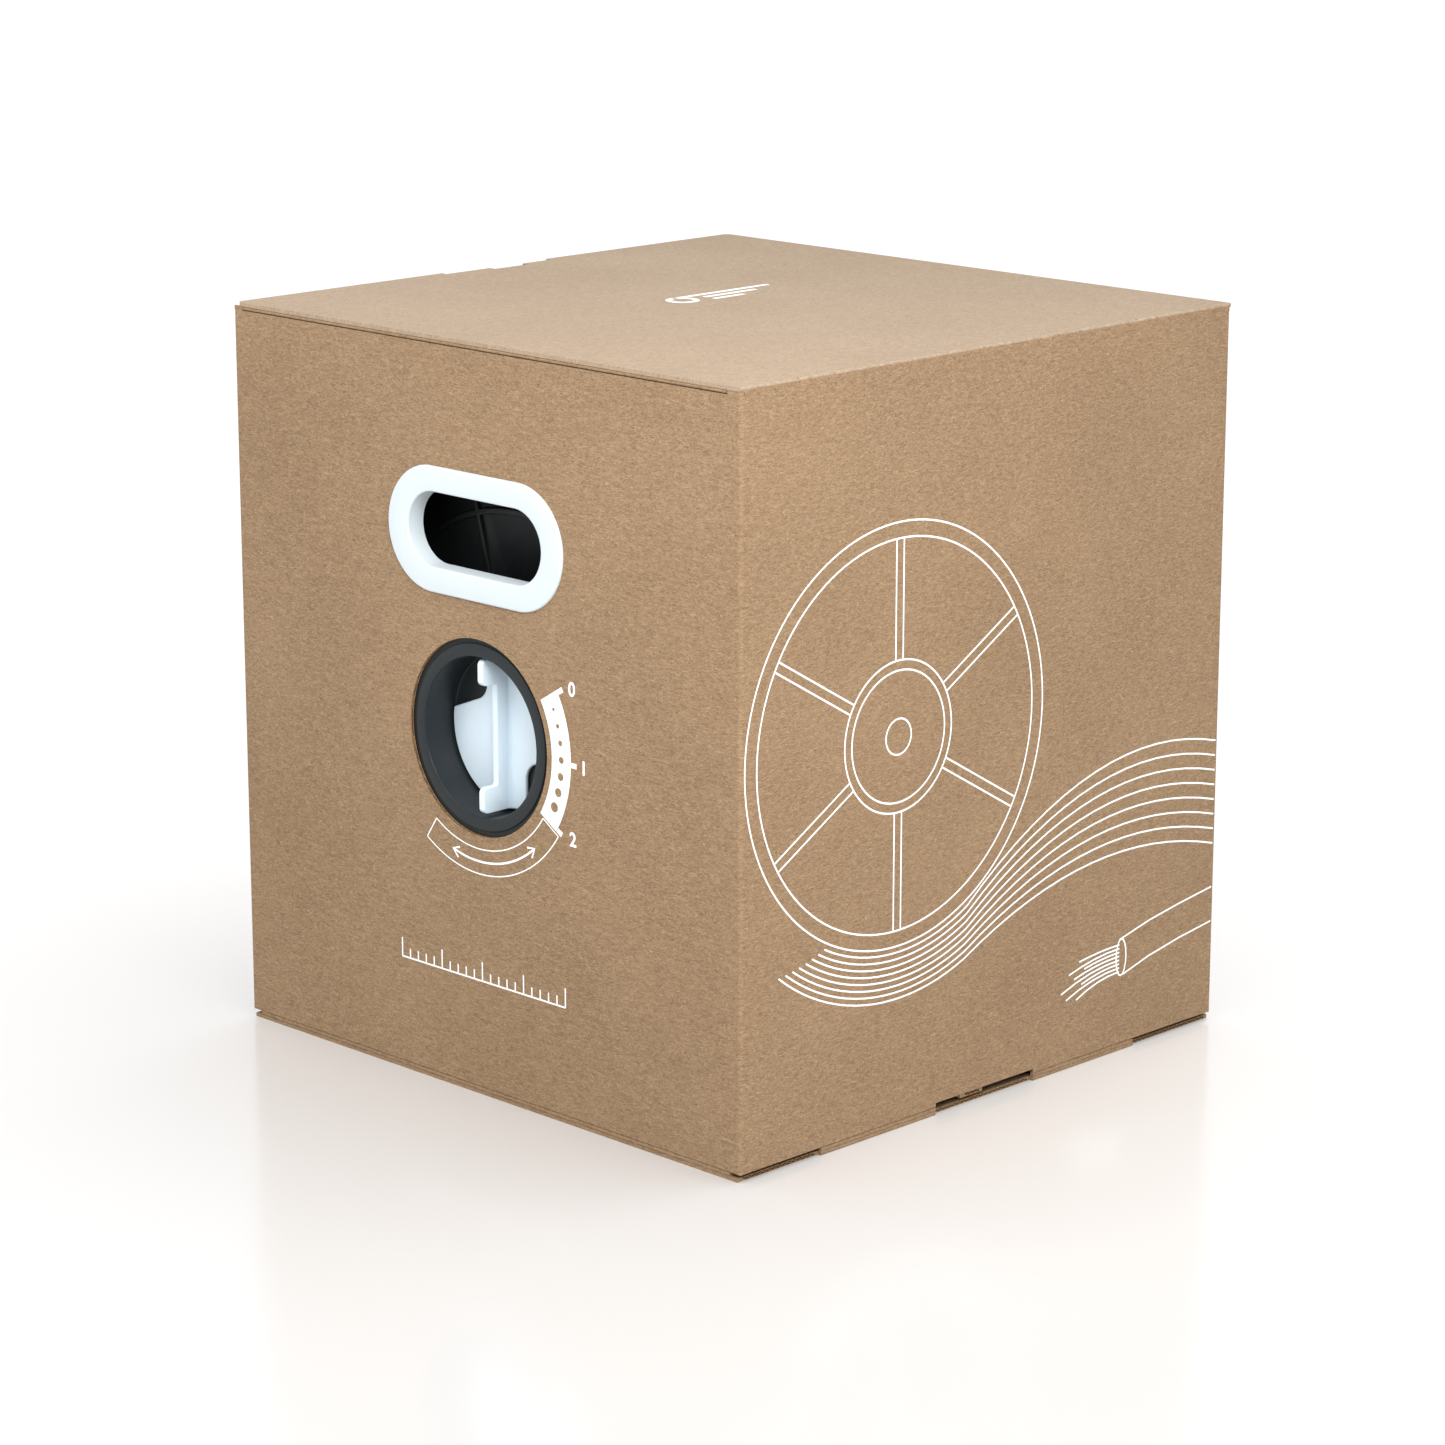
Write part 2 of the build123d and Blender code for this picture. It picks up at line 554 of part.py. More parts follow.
def tie_rods():
    """The rods that clamp both flanges on the core, each with a round head at both ends."""
    rods = []
    near = FLANGE_INSET - TIE_HEAD_HEIGHT
    far = BOX_DEPTH - near
    for x, z in tie_rod_places():
        rod = disc(TIE_ROD_RADIUS, near, far)
        rod += disc(TIE_HEAD_RADIUS, near, near + TIE_HEAD_HEIGHT)
        rod += disc(TIE_HEAD_RADIUS, far - TIE_HEAD_HEIGHT, far)
        rods.append(Pos(x, 0, z) * rod)
    return Compound(children=rods)


def reel_core():
    """The spiral-wound paper tube between the flanges."""
    return disc(CORE_RADIUS, CORE_START, BOX_DEPTH - CORE_START, CORE_RADIUS - CORE_WALL)


def cable_pack():
    """The wound cable as one ring."""
    return disc(WOUND_RADIUS, CORE_START, BOX_DEPTH - CORE_START, CORE_RADIUS)


def cable_end_clip():
    """The clip over the front flange's rim that holds the cable's end."""
    high = AXLE_Z + FLANGE_RADIUS + END_CLIP_WALL
    low = AXLE_Z + FLANGE_RADIUS - END_CLIP_LENGTH
    rim_front = FLANGE_INSET - (RIM_HEIGHT - FLANGE_THICKNESS) / 2
    near = rim_front - END_CLIP_WALL - HALF_DEPTH
    far = rim_front + RIM_HEIGHT + END_CLIP_WALL - HALF_DEPTH
    clip = block(-END_CLIP_WIDTH / 2, END_CLIP_WIDTH / 2, near, far, low, high)
    slot = disc(FLANGE_RADIUS, rim_front, rim_front + RIM_HEIGHT)
    return clip - slot


# ---------------------------------------------------------------- cable outlet
def outlet_ring(radius, bore, near, far):
    """A ring on the outlet's axis, from x = near to x = far."""
    plane = Plane((near, 0, OUTLET_Z), x_dir=(0, 1, 0), z_dir=(1, 0, 0))
    return extrude(plane * (Circle(radius) - Circle(bore)), far - near)


def cable_outlet():
    """The bushing that the cable is pulled out through."""
    outside = -HALF_WIDTH - OUTLET_PROUD
    shape = outlet_ring(OUTLET_FLANGE_RADIUS, OUTLET_BORE_RADIUS, outside, -HALF_WIDTH)
    shape += outlet_ring(OUTLET_TUBE_RADIUS, OUTLET_BORE_RADIUS, -HALF_WIDTH, OUTLET_LENGTH - HALF_WIDTH)
    inner_mouth = shape.faces().sort_by(Axis.X)[-1].edges().sort_by(SortBy.LENGTH)[:1]
    shape = fillet(inner_mouth, 2.0)
    outer_mouth = shape.faces().sort_by(Axis.X)[0].edges()
    return fillet(outer_mouth, 0.9)


def outlet_nut():
    """The nut that holds the outlet in the left wall."""
    near = BOARD - HALF_WIDTH
    plane = Plane((near, 0, OUTLET_Z), x_dir=(0, 1, 0), z_dir=(1, 0, 0))
    face = RegularPolygon(OUTLET_FLANGE_RADIUS, 6) - Circle(OUTLET_TUBE_RADIUS)
    return extrude(plane * face, OUTLET_NUT_THICKNESS)


def main():
    os.makedirs("parts", exist_ok=True)
    front = end_wall()
    save(front, "front_wall")
    save(to_rear(front), "rear_wall")
    save(right_wall(), "right_wall")
    save(left_wall(), "left_wall")
    save(glue_tab(), "glue_tab")
    save(lid(), "lid")
    flap = dust_flap()
    save(flap, "dust_flap_front")
    save(mirrored_rear(flap), "dust_flap_rear")
    low_flap = bottom_flap()
    save(low_flap, "bottom_flap_front")
    save(to_rear(low_flap), "bottom_flap_rear")
    save(bottom_outer_panel(), "bottom_outer_panel")
    save(bottom_inner_panel(), "bottom_inner_panel")
    bezel = hand_hole_bezel()
    save(bezel, "hand_hole_bezel_front")
    save(to_rear(bezel), "hand_hole_bezel_rear")
    ring = bezel_backing_ring()
    save(ring, "bezel_backing_ring_front")
    save(to_rear(ring), "bezel_backing_ring_rear")
    pad = bearing_pad()
    save(pad, "bearing_pad_front")
    save(to_rear(pad), "bearing_pad_rear")
    save(front_bearing_cup(), "bearing_cup_front")
    save(to_rear(cup_body()), "bearing_cup_rear")
    save(tension_knob(), "tension_knob")
    save(knob_shaft(), "knob_shaft")
    save(knob_clip(), "knob_retaining_ring")
    save(pressure_plate(), "pressure_plate")
    save(friction_pad(), "friction_pad")
    save(brake_spring(), "brake_spring")
    flange = reel_flange()
    save(flange, "reel_flange_front")
    save(to_rear(flange), "reel_flange_rear")
    hub = reel_hub()
    save(hub, "reel_hub_front")
    save(to_rear(hub), "reel_hub_rear")
    save(reel_core(), "reel_core")
    save(tie_rods(), "reel_tie_rods")
    save(cable_pack(), "cable_pack")
    save(cable_end_clip(), "cable_end_clip")
    save(cable_outlet(), "cable_outlet")
    save(outlet_nut(), "outlet_nut")


main()
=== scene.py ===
"""A pull-box of network cable: a folded corrugated carton with a cable reel that turns inside it.

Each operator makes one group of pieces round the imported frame. Every length is in metres and every
place is in the frame's own axes: +Z up, the front wall facing -Y, the origin under the box.
"""

import json
import math

import bmesh
import bpy
from bpy.props import FloatProperty, FloatVectorProperty, PointerProperty
from mathutils import Matrix, Vector


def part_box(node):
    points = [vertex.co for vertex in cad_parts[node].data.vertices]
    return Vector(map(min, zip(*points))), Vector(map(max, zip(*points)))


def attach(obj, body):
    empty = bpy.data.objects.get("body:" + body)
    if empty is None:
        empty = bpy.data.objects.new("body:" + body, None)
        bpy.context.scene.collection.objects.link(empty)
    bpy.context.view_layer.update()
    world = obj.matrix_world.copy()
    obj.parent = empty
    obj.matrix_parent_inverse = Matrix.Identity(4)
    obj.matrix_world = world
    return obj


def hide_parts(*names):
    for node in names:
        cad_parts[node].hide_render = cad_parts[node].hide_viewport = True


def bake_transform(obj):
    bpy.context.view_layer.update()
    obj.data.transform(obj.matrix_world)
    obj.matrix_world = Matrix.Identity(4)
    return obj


bl_info = {
    "name": "Cable Spool Box",
    "version": (1, 0, 0),
    "blender": (4, 5, 0),
    "location": "3D View > Sidebar > Spool Box",
    "description": "Builds a carton with a turning cable reel and a tension knob",
    "category": "Object",
}

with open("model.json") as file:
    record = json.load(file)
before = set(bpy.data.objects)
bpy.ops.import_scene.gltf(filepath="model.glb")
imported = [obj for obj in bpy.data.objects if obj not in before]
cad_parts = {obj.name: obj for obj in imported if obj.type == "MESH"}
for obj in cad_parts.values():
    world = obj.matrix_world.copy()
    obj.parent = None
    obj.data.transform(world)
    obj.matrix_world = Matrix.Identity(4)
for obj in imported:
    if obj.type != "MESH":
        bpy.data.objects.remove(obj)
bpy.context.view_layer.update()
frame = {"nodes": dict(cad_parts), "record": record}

MM = 0.001
X, Y, Z = Vector((1, 0, 0)), Vector((0, 1, 0)), Vector((0, 0, 1))
NODES = frame["nodes"]
BODY_OF = {node: body for body, nodes in frame["record"]["behaviour"]["bodies"].items() for node in nodes}


def middle(node):
    """The middle of a node's box."""
    low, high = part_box(node)
    return (low + high) / 2


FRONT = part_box("front_wall")[0].y
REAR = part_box("rear_wall")[1].y
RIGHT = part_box("right_wall")[1].x
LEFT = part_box("left_wall")[0].x
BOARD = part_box("bottom_flap_front")[1].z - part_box("bottom_flap_front")[0].z
AXLE_Z = middle("bearing_cup_front").z
HAND_Z = middle("hand_hole_bezel_front").z
OUTLET_Z = middle("cable_outlet").z
LID_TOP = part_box("lid")[1].z

# Where the board's flutes stop, in metres along +Y
TAB_NEAR, TAB_FAR = 38 * MM, 151 * MM
WEBS = ((-122.6 * MM, -39.8 * MM), (34.4 * MM, 113.7 * MM))
TONGUE = (-20.5 * MM, -3.9 * MM)
FLAP_END = 60 * MM
# A wave texture of scale 1 repeats after this many metres
WAVE_PERIOD = 0.314159


# ---------------------------------------------------------------- values a user may change
def linear(code):
    """Linear red, green, blue and alpha of an sRGB hex colour."""
    parts = [int(code[i : i + 2], 16) / 255 for i in (0, 2, 4)]
    return (*[p / 12.92 if p <= 0.04045 else ((p + 0.055) / 1.055) ** 2.4 for p in parts], 1.0)


def length(name, default, description):
    """A length property, in metres."""
    return FloatProperty(name=name, description=description, default=default, min=0, unit="LENGTH", precision=5)


def colour(name, code, description):
    """A colour property, from an sRGB hex value."""
    return FloatVectorProperty(name=name, description=description, default=linear(code), size=4, subtype="COLOR",
                               min=0, max=1)


class SpoolBoxSizes(bpy.types.PropertyGroup):
    """Sizes of the details that the frame does not give."""

    flute_pitch: length("Flute pitch", 3.5 * MM, "Distance from one flute of the board to the next")
    liner: length("Liner", 0.3 * MM, "Thickness of the board's outer papers")
    medium: length("Medium", 0.22 * MM, "Thickness of the waved paper inside the board")
    score: length("Score", 0.42 * MM, "Radius of the crease lines pressed into the folds")
    crease: length("Crease margin", 4.5 * MM, "Width beside a fold where the flutes are crushed flat")
    cable: length("Cable", 7.0 * MM, "Diameter of the wound cable")
    soft_edge: length("Soft edge", 0.4 * MM, "Rounding of the knob's and the nut's edges")
    ink: length("Ink", 0.04 * MM, "How far the print stands off the board")
    stroke: length("Stroke", 1.05 * MM, "Width of the printed lines")


class SpoolBoxColours(bpy.types.PropertyGroup):
    """Colours of the papers, plastics and metals."""

    kraft: colour("Kraft liner", "9F8466", "Unbleached paper on the walls")
    kraft_dark: colour("Kraft fibres", "7C6248", "The darker fibres in it")
    kraft_light: colour("Pale fibres", "B9A17E", "The paler fibres in it")
    kraft_fleck: colour("Flecks", "4E3D2A", "Dark flecks in the paper")
    # The lid's three colours are the walls' kraft liner and fibres painted lighter and bluer. This is painted light
    # for the light that falls from above onto the lid; the lid's paper is the same kraft.
    kraft_lid: colour("Lid liner", "AC9882", "Unbleached paper on the lid")
    lid_dark_fibres_painted_lighter: colour("Lid fibres", "927D66", "The darker fibres in the lid's paper")
    lid_pale_fibres_painted_lighter: colour("Pale lid fibres", "B9A993", "The paler fibres in the lid's paper")
    fluting: colour("Fluting", "8F6D47", "The waved paper inside the board")
    white_plastic: colour("White trim", "D0D9DC", "Hand hole trims and outlet")
    knob: colour("Knob", "DCEBF4", "The tension knob")
    cup: colour("Bearing cup", "1F2426", "The bearing cups")
    black: colour("Black plastic", "111314", "Reel and inner rings")
    steel: colour("Zinc", "B8BABB", "Spring, stud and rods")
    felt: colour("Felt", "3A3A38", "The friction pad")
    tube: colour("Paper tube", "A38059", "The reel's core")
    jacket: colour("Cable jacket", "2B2C2F", "The cable")
    ink: colour("Ink", "F4F7F7", "The print")


def sizes():
    return bpy.context.scene.spool_box_sizes


def colours():
    return bpy.context.scene.spool_box_colours


# ---------------------------------------------------------------- modelling
def select_only(piece):
    bpy.ops.object.select_all(action="DESELECT")
    piece.select_set(True)
    bpy.context.view_layer.objects.active = piece


def open_mesh(piece):
    """Opens a piece for editing with everything in it selected."""
    select_only(piece)
    bpy.ops.object.mode_set(mode="EDIT")
    bpy.ops.mesh.select_mode(type="VERT")
    bpy.ops.mesh.select_all(action="SELECT")


def close_mesh():
    bpy.ops.object.mode_set(mode="OBJECT")


def pick(piece, test):
    """Selects the vertices of the open piece whose place passes the test."""
    bpy.ops.mesh.select_mode(type="VERT")
    bpy.ops.mesh.select_all(action="DESELECT")
    mesh = bmesh.from_edit_mesh(piece.data)
    for vertex in mesh.verts:
        vertex.select_set(test(vertex.co))
    bmesh.update_edit_mesh(piece.data)


def settle(piece, name):
    """Names a new piece and puts its place into its mesh."""
    select_only(piece)
    bpy.ops.object.transform_apply(location=True, rotation=True, scale=True)
    piece.name = name
    piece.data.name = name
    return piece


def drawn(points, closed=True):
    """An outline drawn by extruding one vertex from point to point. It is left open for editing."""
    bpy.ops.object.select_all(action="DESELECT")
    bpy.ops.mesh.primitive_plane_add(size=MM, location=points[0])
    piece = bpy.context.object
    bpy.ops.object.mode_set(mode="EDIT")
    bpy.ops.mesh.select_mode(type="VERT")
    bpy.ops.mesh.select_all(action="SELECT")
    bpy.ops.mesh.merge(type="CENTER")
    for start, end in zip(points, points[1:]):
        bpy.ops.mesh.extrude_vertices_move(TRANSFORM_OT_translate={"value": end - start})
    if closed:
        mesh = bmesh.from_edit_mesh(piece.data)
        for vertex in mesh.verts:
            vertex.select_set(len(vertex.link_edges) < 2)
        bmesh.update_edit_mesh(piece.data)
        bpy.ops.mesh.edge_face_add()
    bpy.ops.mesh.select_all(action="SELECT")
    return piece


def clean():
    """Merges doubled vertices and turns every face of the open piece outwards."""
    bpy.ops.mesh.select_all(action="SELECT")
    bpy.ops.mesh.remove_doubles(threshold=1e-6)
    bpy.ops.mesh.normals_make_consistent(inside=False)


def turned(name, outline, centre, axis=Y, steps=96):
    """A piece turned on a lathe from an outline of (radius, distance along the axis) in millimetres."""
    out = Vector((abs(axis.y), abs(axis.x), 0))
    points = [centre + out * radius * MM + axis * along * MM for radius, along in outline]
    piece = drawn(points)
    bpy.ops.mesh.spin(steps=steps, angle=2 * math.pi, center=centre, axis=axis)
    clean()
    close_mesh()
    return settle(piece, name)


def prism(name, points, reach):
    """A flat outline filled and pulled out by a vector."""
    piece = drawn(points)
    bpy.ops.mesh.edge_face_add()
    bpy.ops.mesh.extrude_region_move(TRANSFORM_OT_translate={"value": reach})
    clean()
    close_mesh()
    return settle(piece, name)


def stretch(piece, centre, amount, beyond=0.0):
    """Pulls the two halves of a round piece apart along X, so that it becomes a slot shape."""
    open_mesh(piece)
    for side in (-1, 1):
        pick(piece, lambda p: (p.x - centre.x) * side > 0 and math.hypot(p.x - centre.x, p.z - centre.z) > beyond)
        bpy.ops.transform.translate(value=(side * amount, 0, 0))
    close_mesh()


def apply_modifier(piece, kind, **settings):
    """Adds a modifier with its settings and applies it."""
    select_only(piece)
    modifier = piece.modifiers.new(kind.title(), kind)
    for key, value in settings.items():
        setattr(modifier, key, value)
    bpy.ops.object.modifier_apply(modifier=modifier.name)


def cut(piece, *tools):
    """Cuts each tool out of a piece and removes the tools. Faces that a cut leaves take the tool's material."""
    for tool in tools:
        apply_modifier(piece, "BOOLEAN", operation="DIFFERENCE", object=tool, solver="MANIFOLD")
        bpy.data.objects.remove(tool)


def joined(name, pieces):
    """Several loose shells as one piece."""
    bpy.ops.object.select_all(action="DESELECT")
    for piece in pieces:
        piece.select_set(True)
    bpy.context.view_layer.objects.active = pieces[0]
    if len(pieces) > 1:
        bpy.ops.object.join()
    return settle(bpy.context.object, name)


def smooth(piece, angle=32):
    """Shades a piece smooth, except at edges sharper than the angle in degrees."""
    select_only(piece)
    bpy.ops.object.shade_smooth_by_angle(angle=math.radians(angle))


def soften(piece, width, segments, angle=32):
    """Rounds a piece's edges that are sharper than the angle, then shades it."""
    apply_modifier(piece, "BEVEL", width=width, segments=segments, limit_method="ANGLE",
                   angle_limit=math.radians(angle), use_clamp_overlap=False)
    smooth(piece, 50)


def from_frame(node, name):
    """A copy of a frame node with its loose triangles merged, to be worked on."""
    source = NODES[node]
    piece = source.copy()
    piece.data = source.data.copy()
    for key in list(piece.keys()):
        del piece[key]
    piece.parent = None
    piece.hide_render = piece.hide_viewport = False
    bpy.context.scene.collection.objects.link(piece)
    select_only(piece)
    bpy.ops.mesh.customdata_custom_splitnormals_clear()
    open_mesh(piece)
    bpy.ops.mesh.remove_doubles(threshold=2e-6)
    bpy.ops.mesh.dissolve_limited(angle_limit=math.radians(0.4))
    close_mesh()
    return settle(piece, name)


def turned_round(piece, name):
    """A copy of a front piece for the rear wall, half a turn about the box's upright axis."""
    copy = piece.copy()
    copy.data = piece.data.copy()
    bpy.context.scene.collection.objects.link(copy)
    copy.matrix_world = Matrix.Rotation(math.pi, 4, "Z")
    return settle(copy, name)


def paint(piece, *materials):
    """Gives a piece these materials in place of its own."""
    piece.data.materials.clear()
    for material in materials:
        piece.data.materials.append(material)


def place(piece, node, material=None):
    """Lets a finished piece stand for a frame node: it moves with that node's body, takes the material given, and
    the node is hidden.
    """
    if material:
        paint(piece, material)
    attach(piece, BODY_OF[node])
    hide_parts(node)


# ---------------------------------------------------------------- materials
def new_material(name):
    """An empty material with its output and main shader."""
    material = bpy.data.materials.new(name)
    material.use_nodes = True
    material.node_tree.nodes.clear()
    shader = add_node(material, "ShaderNodeBsdfPrincipled")
    add_node(material, "ShaderNodeOutputMaterial", {"Surface": (shader, "BSDF")})
    return material, shader


def add_node(owner, kind, sockets=None, **settings):
    """Adds one node to a material or world, with its settings, its values and its links."""
    node = owner.node_tree.nodes.new(kind)
    for key, value in settings.items():
        setattr(node, key, value)
    wire(owner, node, sockets or {})
    return node


def wire(owner, node, sockets):
    """Sets a node's sockets to values, or links them from (node, output) pairs."""
    for key, value in sockets.items():
        if isinstance(value, tuple) and isinstance(value[0], bpy.types.Node):
            owner.node_tree.links.new(value[0].outputs[value[1]], node.inputs[key])
        else:
            node.inputs[key].default_value = value


def per_metre(millimetres):
    """A texture's scale for grains of that size."""
    return 1000 / millimetres


def textured_material(name):
    """An empty material, its main shader, and the place on the piece, in metres, that textures are laid by."""
    material, shader = new_material(name)
    return material, shader, (add_node(material, "ShaderNodeTexCoord"), "Object")


def noise(material, where, grain, detail, roughness=0.5, distortion=0.0):
    """Uneven grains of a size in millimetres."""
    return add_node(material, "ShaderNodeTexNoise", {"Vector": where, "Scale": per_metre(grain), "Detail": detail,
                                                     "Roughness": roughness, "Distortion": distortion}), "Fac"


def ramp(material, value, start, end, low, high):
    """A value mapped from the span start..end to low..high, and held there outside it."""
    return add_node(material, "ShaderNodeMapRange", {"Value": value, "From Min": start, "From Max": end,
                                                     "To Min": low, "To Max": high}), "Result"


def maths(material, operation, first, second, **settings):
    """Two values put together."""
    return add_node(material, "ShaderNodeMath", {0: first, 1: second}, operation=operation, **settings), "Value"


def mixed(material, amount, first, second):
    """Two colours mixed: the amount is the second one's share."""
    return add_node(material, "ShaderNodeMix", {0: amount, 6: first, 7: second}, data_type="RGBA"), 2


def bump(material, height, strength, depth, normal=None):
    """Relief of a depth in metres, over another relief where one is given."""
    sockets = {"Height": height, "Strength": strength, "Distance": depth}
    if normal:
        sockets["Normal"] = normal
    return add_node(material, "ShaderNodeBump", sockets), "Normal"


MADE = {}


def finish(maker, *details):
    """A material made once and used again."""
    key = (maker.__name__, *details)
    if key not in MADE:
        MADE[key] = maker(*details)
    return MADE[key]


def kraft_paper(name, tone, across):
    """Unbleached kraft liner on corrugated board. Long brown fibres and a few dark flecks mottle it at one or two
    millimetres, it is matt, and the flutes beneath show as a faint washboard."""
    chosen = colours()
    # On the lid the paper takes the lid colours: the same kraft painted lighter, as painted light from above.
    lid_painted_lighter = tone == "kraft_lid"
    dark, light = (chosen.lid_dark_fibres_painted_lighter, chosen.lid_pale_fibres_painted_lighter) if lid_painted_lighter else (chosen.kraft_dark, chosen.kraft_light)
    fibre_lie = (3.2, 1, 1) if lid_painted_lighter else (1, 1, 3.2)
    material, shader, where = textured_material(name)
    laid = add_node(material, "ShaderNodeMapping", {"Vector": where, "Scale": fibre_lie}), "Vector"
    clouds = noise(material, where, 90, 3.0, 0.6)
    mottle = noise(material, laid, 3.4, 4.0, 0.72, 1.2)
    grain = noise(material, laid, 1.1, 2.0, 0.6)
    strands = noise(material, laid, 5.0, 2.0, 0.6, 2.5)
    cells = add_node(material, "ShaderNodeTexVoronoi", {"Vector": laid, "Scale": per_metre(6.0), "Randomness": 1.0})
    chance = add_node(material, "ShaderNodeSeparateColor", {"Color": (cells, "Color")})
    flecks = maths(material, "MULTIPLY", ramp(material, (cells, "Distance"), 0.07, 0.17, 0.7, 0.0),
                   maths(material, "GREATER_THAN", (chance, "Red"), 0.62))
    shade = maths(material, "ADD", ramp(material, mottle, 0.36, 0.64, 0.95, 0.0),
                  ramp(material, grain, 0.3, 0.7, 0.3, -0.2))
    shade = maths(material, "ADD", shade, ramp(material, clouds, 0.3, 0.7, -0.1, 0.12), use_clamp=True)
    paper = mixed(material, shade, getattr(chosen, tone), dark)
    paper = mixed(material, ramp(material, strands, 0.57, 0.70, 0.0, 0.45), paper, light)
    paper = mixed(material, flecks, paper, chosen.kraft_fleck)
    flutes = add_node(material, "ShaderNodeTexWave",
                      {"Vector": where, "Scale": WAVE_PERIOD / sizes().flute_pitch, "Distortion": 0.35,
                       "Detail": 1.0, "Detail Scale": 0.05}, bands_direction=across), "Fac"
    fibres = bump(material, maths(material, "ADD", grain, mottle), 0.35, 0.15 * MM)
    wire(material, shader, {"Base Color": paper, "Roughness": ramp(material, mottle, 0, 1, 0.62, 0.86),
                            "Normal": bump(material, flutes, 0.10, 0.05 * MM, fibres), "Specular IOR Level": 0.3})
    return material


def fluting_paper():
    """Recycled fluting inside the board: darker and duller than the liner."""
    material, shader, where = textured_material("fluting_paper")
    grain = noise(material, where, 1.2, 3.0)
    wire(material, shader, {"Base Color": mixed(material, grain, colours().fluting, linear("735534")),
                            "Roughness": 0.92, "Normal": bump(material, grain, 0.3, 0.1 * MM),
                            "Specular IOR Level": 0.2})
    return material


def moulded_plastic(name, tone, roughness, spark, depth, translucency, gloss):
    """Injection-moulded ABS or polypropylene. A fine spark-eroded texture, its grain and depth in millimetres,
    breaks up its soft highlights, and handling leaves the sheen a little uneven."""
    material, shader, where = textured_material(name)
    wear = noise(material, where, 35, 4.0, 0.65)
    base = getattr(colours(), tone)
    darker = (base[0] * 0.94, base[1] * 0.94, base[2] * 0.95, 1)
    wire(material, shader, {"Base Color": mixed(material, wear, base, darker),
                            "Roughness": ramp(material, wear, 0.3, 0.7, roughness - 0.05, roughness + 0.07),
                            "Normal": bump(material, noise(material, where, spark, 2.0), 0.25, depth * MM),
                            "IOR": 1.52, "Specular IOR Level": gloss, "Subsurface Weight": translucency,
                            "Subsurface Scale": 2 * MM})
    return material


def printed_ink():
    """White flexographic ink on kraft: matt, slightly thin where the paper's fibres stand up."""
    material, shader, where = textured_material("white_flexo_ink")
    grain = noise(material, where, 1.1, 3.0, 0.7)
    ink = mixed(material, ramp(material, grain, 0.62, 0.8, 0.0, 0.5), colours().ink, colours().kraft)
    wire(material, shader, {"Base Color": ink, "Roughness": 0.7, "Specular IOR Level": 0.3})
    return material


def zinc_steel():
    """Zinc-plated steel: bright, faintly blue, with a soft crystalline unevenness."""
    material, shader, where = textured_material("zinc_plated_steel")
    spangle = noise(material, where, 3, 5.0, 0.7)
    wire(material, shader, {"Base Color": colours().steel, "Metallic": 1.0,
                            "Roughness": ramp(material, spangle, 0, 1, 0.22, 0.45)})
    return material


def wool_felt():
    """Pressed wool felt: matt with short tangled hairs."""
    material, shader, where = textured_material("wool_felt")
    hair = noise(material, where, 0.8, 6.0, 0.8, 1.5)
    wire(material, shader, {"Base Color": mixed(material, hair, colours().felt, linear("6A6863")),
                            "Roughness": 0.95, "Normal": bump(material, hair, 0.8, 0.4 * MM), "Sheen Weight": 0.3,
                            "Specular IOR Level": 0.15})
    return material


def wound_paper_tube():
    """A spiral-wound paper tube: dull brown plies with a seam that climbs round it."""
    material, shader, where = textured_material("spiral_paper_tube")
    grain = noise(material, where, 1.5, 4.0, 0.7)
    seam = add_node(material, "ShaderNodeTexWave", {"Vector": where, "Scale": WAVE_PERIOD / 0.09},
                    bands_direction="DIAGONAL", wave_profile="SAW")
    paper = mixed(material, grain, colours().tube, linear("8A6A45"))
    paper = mixed(material, maths(material, "LESS_THAN", (seam, "Fac"), 0.03), paper, linear("5C452B"))
    wire(material, shader, {"Base Color": paper, "Roughness": 0.85,
                            "Normal": bump(material, grain, 0.3, 0.1 * MM)})
    return material


# name, colour, roughness, grain and depth of the texture in millimetres, translucency, gloss
PLASTICS = {
    "trim": ("white_abs_trim", "white_plastic", 0.42, 0.6, 0.01, 0.06, 0.5),
    "knob": ("pale_blue_white_abs", "knob", 0.36, 0.5, 0.008, 0.08, 0.5),
    "cup": ("dark_grey_polypropylene", "cup", 0.36, 0.8, 0.012, 0.0, 0.28),
    "reel": ("black_polypropylene", "black", 0.5, 0.9, 0.02, 0.0, 0.35),
    "jacket": ("pvc_cable_jacket", "jacket", 0.4, 1.2, 0.02, 0.0, 0.5),
}


def plastic(kind):
    """One of the plastics in the list."""
    return finish(moulded_plastic, *PLASTICS[kind])


def wall_paper(across):
    """The carton's own liner, over flutes that follow each other along that axis."""
    return finish(kraft_paper, f"kraft_liner_{across.lower()}", "kraft", across)


# ---------------------------------------------------------------- corrugated board
def channel(side):
    """The outline of one hollow beside the waved paper: places across the board and heights from its middle."""
    pitch = sizes().flute_pitch
    half = BOARD / 2 - sizes().liner
    swing = half - sizes().medium / 2
    width = 0.84 * pitch
    outline = []
    for step in range(7):
        offset = (step / 6 - 0.5) * width
        outline.append((offset, -swing * math.cos(2 * math.pi * offset / pitch) + sizes().medium * 0.62))
    outline += [(width / 2, half), (-width / 2, half)]
    return [(offset, side * height) for offset, height in outline]


def flute_tools(middle_at, along, across, normal, spans):
    """The hollow channels on both sides of the board's waved paper, as cutters. A span says how far they reach:
    from and to across the board, then from and to along the flutes, in metres."""
    pitch = sizes().flute_pitch
    tools = []
    for low, high, start, end in spans:
        first = math.ceil(low / pitch)
        count = math.floor(high / pitch) - first
        corner = middle_at + along * start
        shells = []
        for side in (1, -1):
            shift = (first + (0.5 if side > 0 else 1.0)) * pitch
            points = [corner + across * (shift + offset) + normal * height for offset, height in channel(side)]
            shells.append(prism("channel", points, along * (end - start)))
        tool = joined("channels", shells)
        apply_modifier(tool, "ARRAY", count=max(count, 1), use_relative_offset=False, use_constant_offset=True,
                       constant_offset_displace=across * pitch)
        paint(tool, finish(fluting_paper))
        tools.append(tool)
    return tools


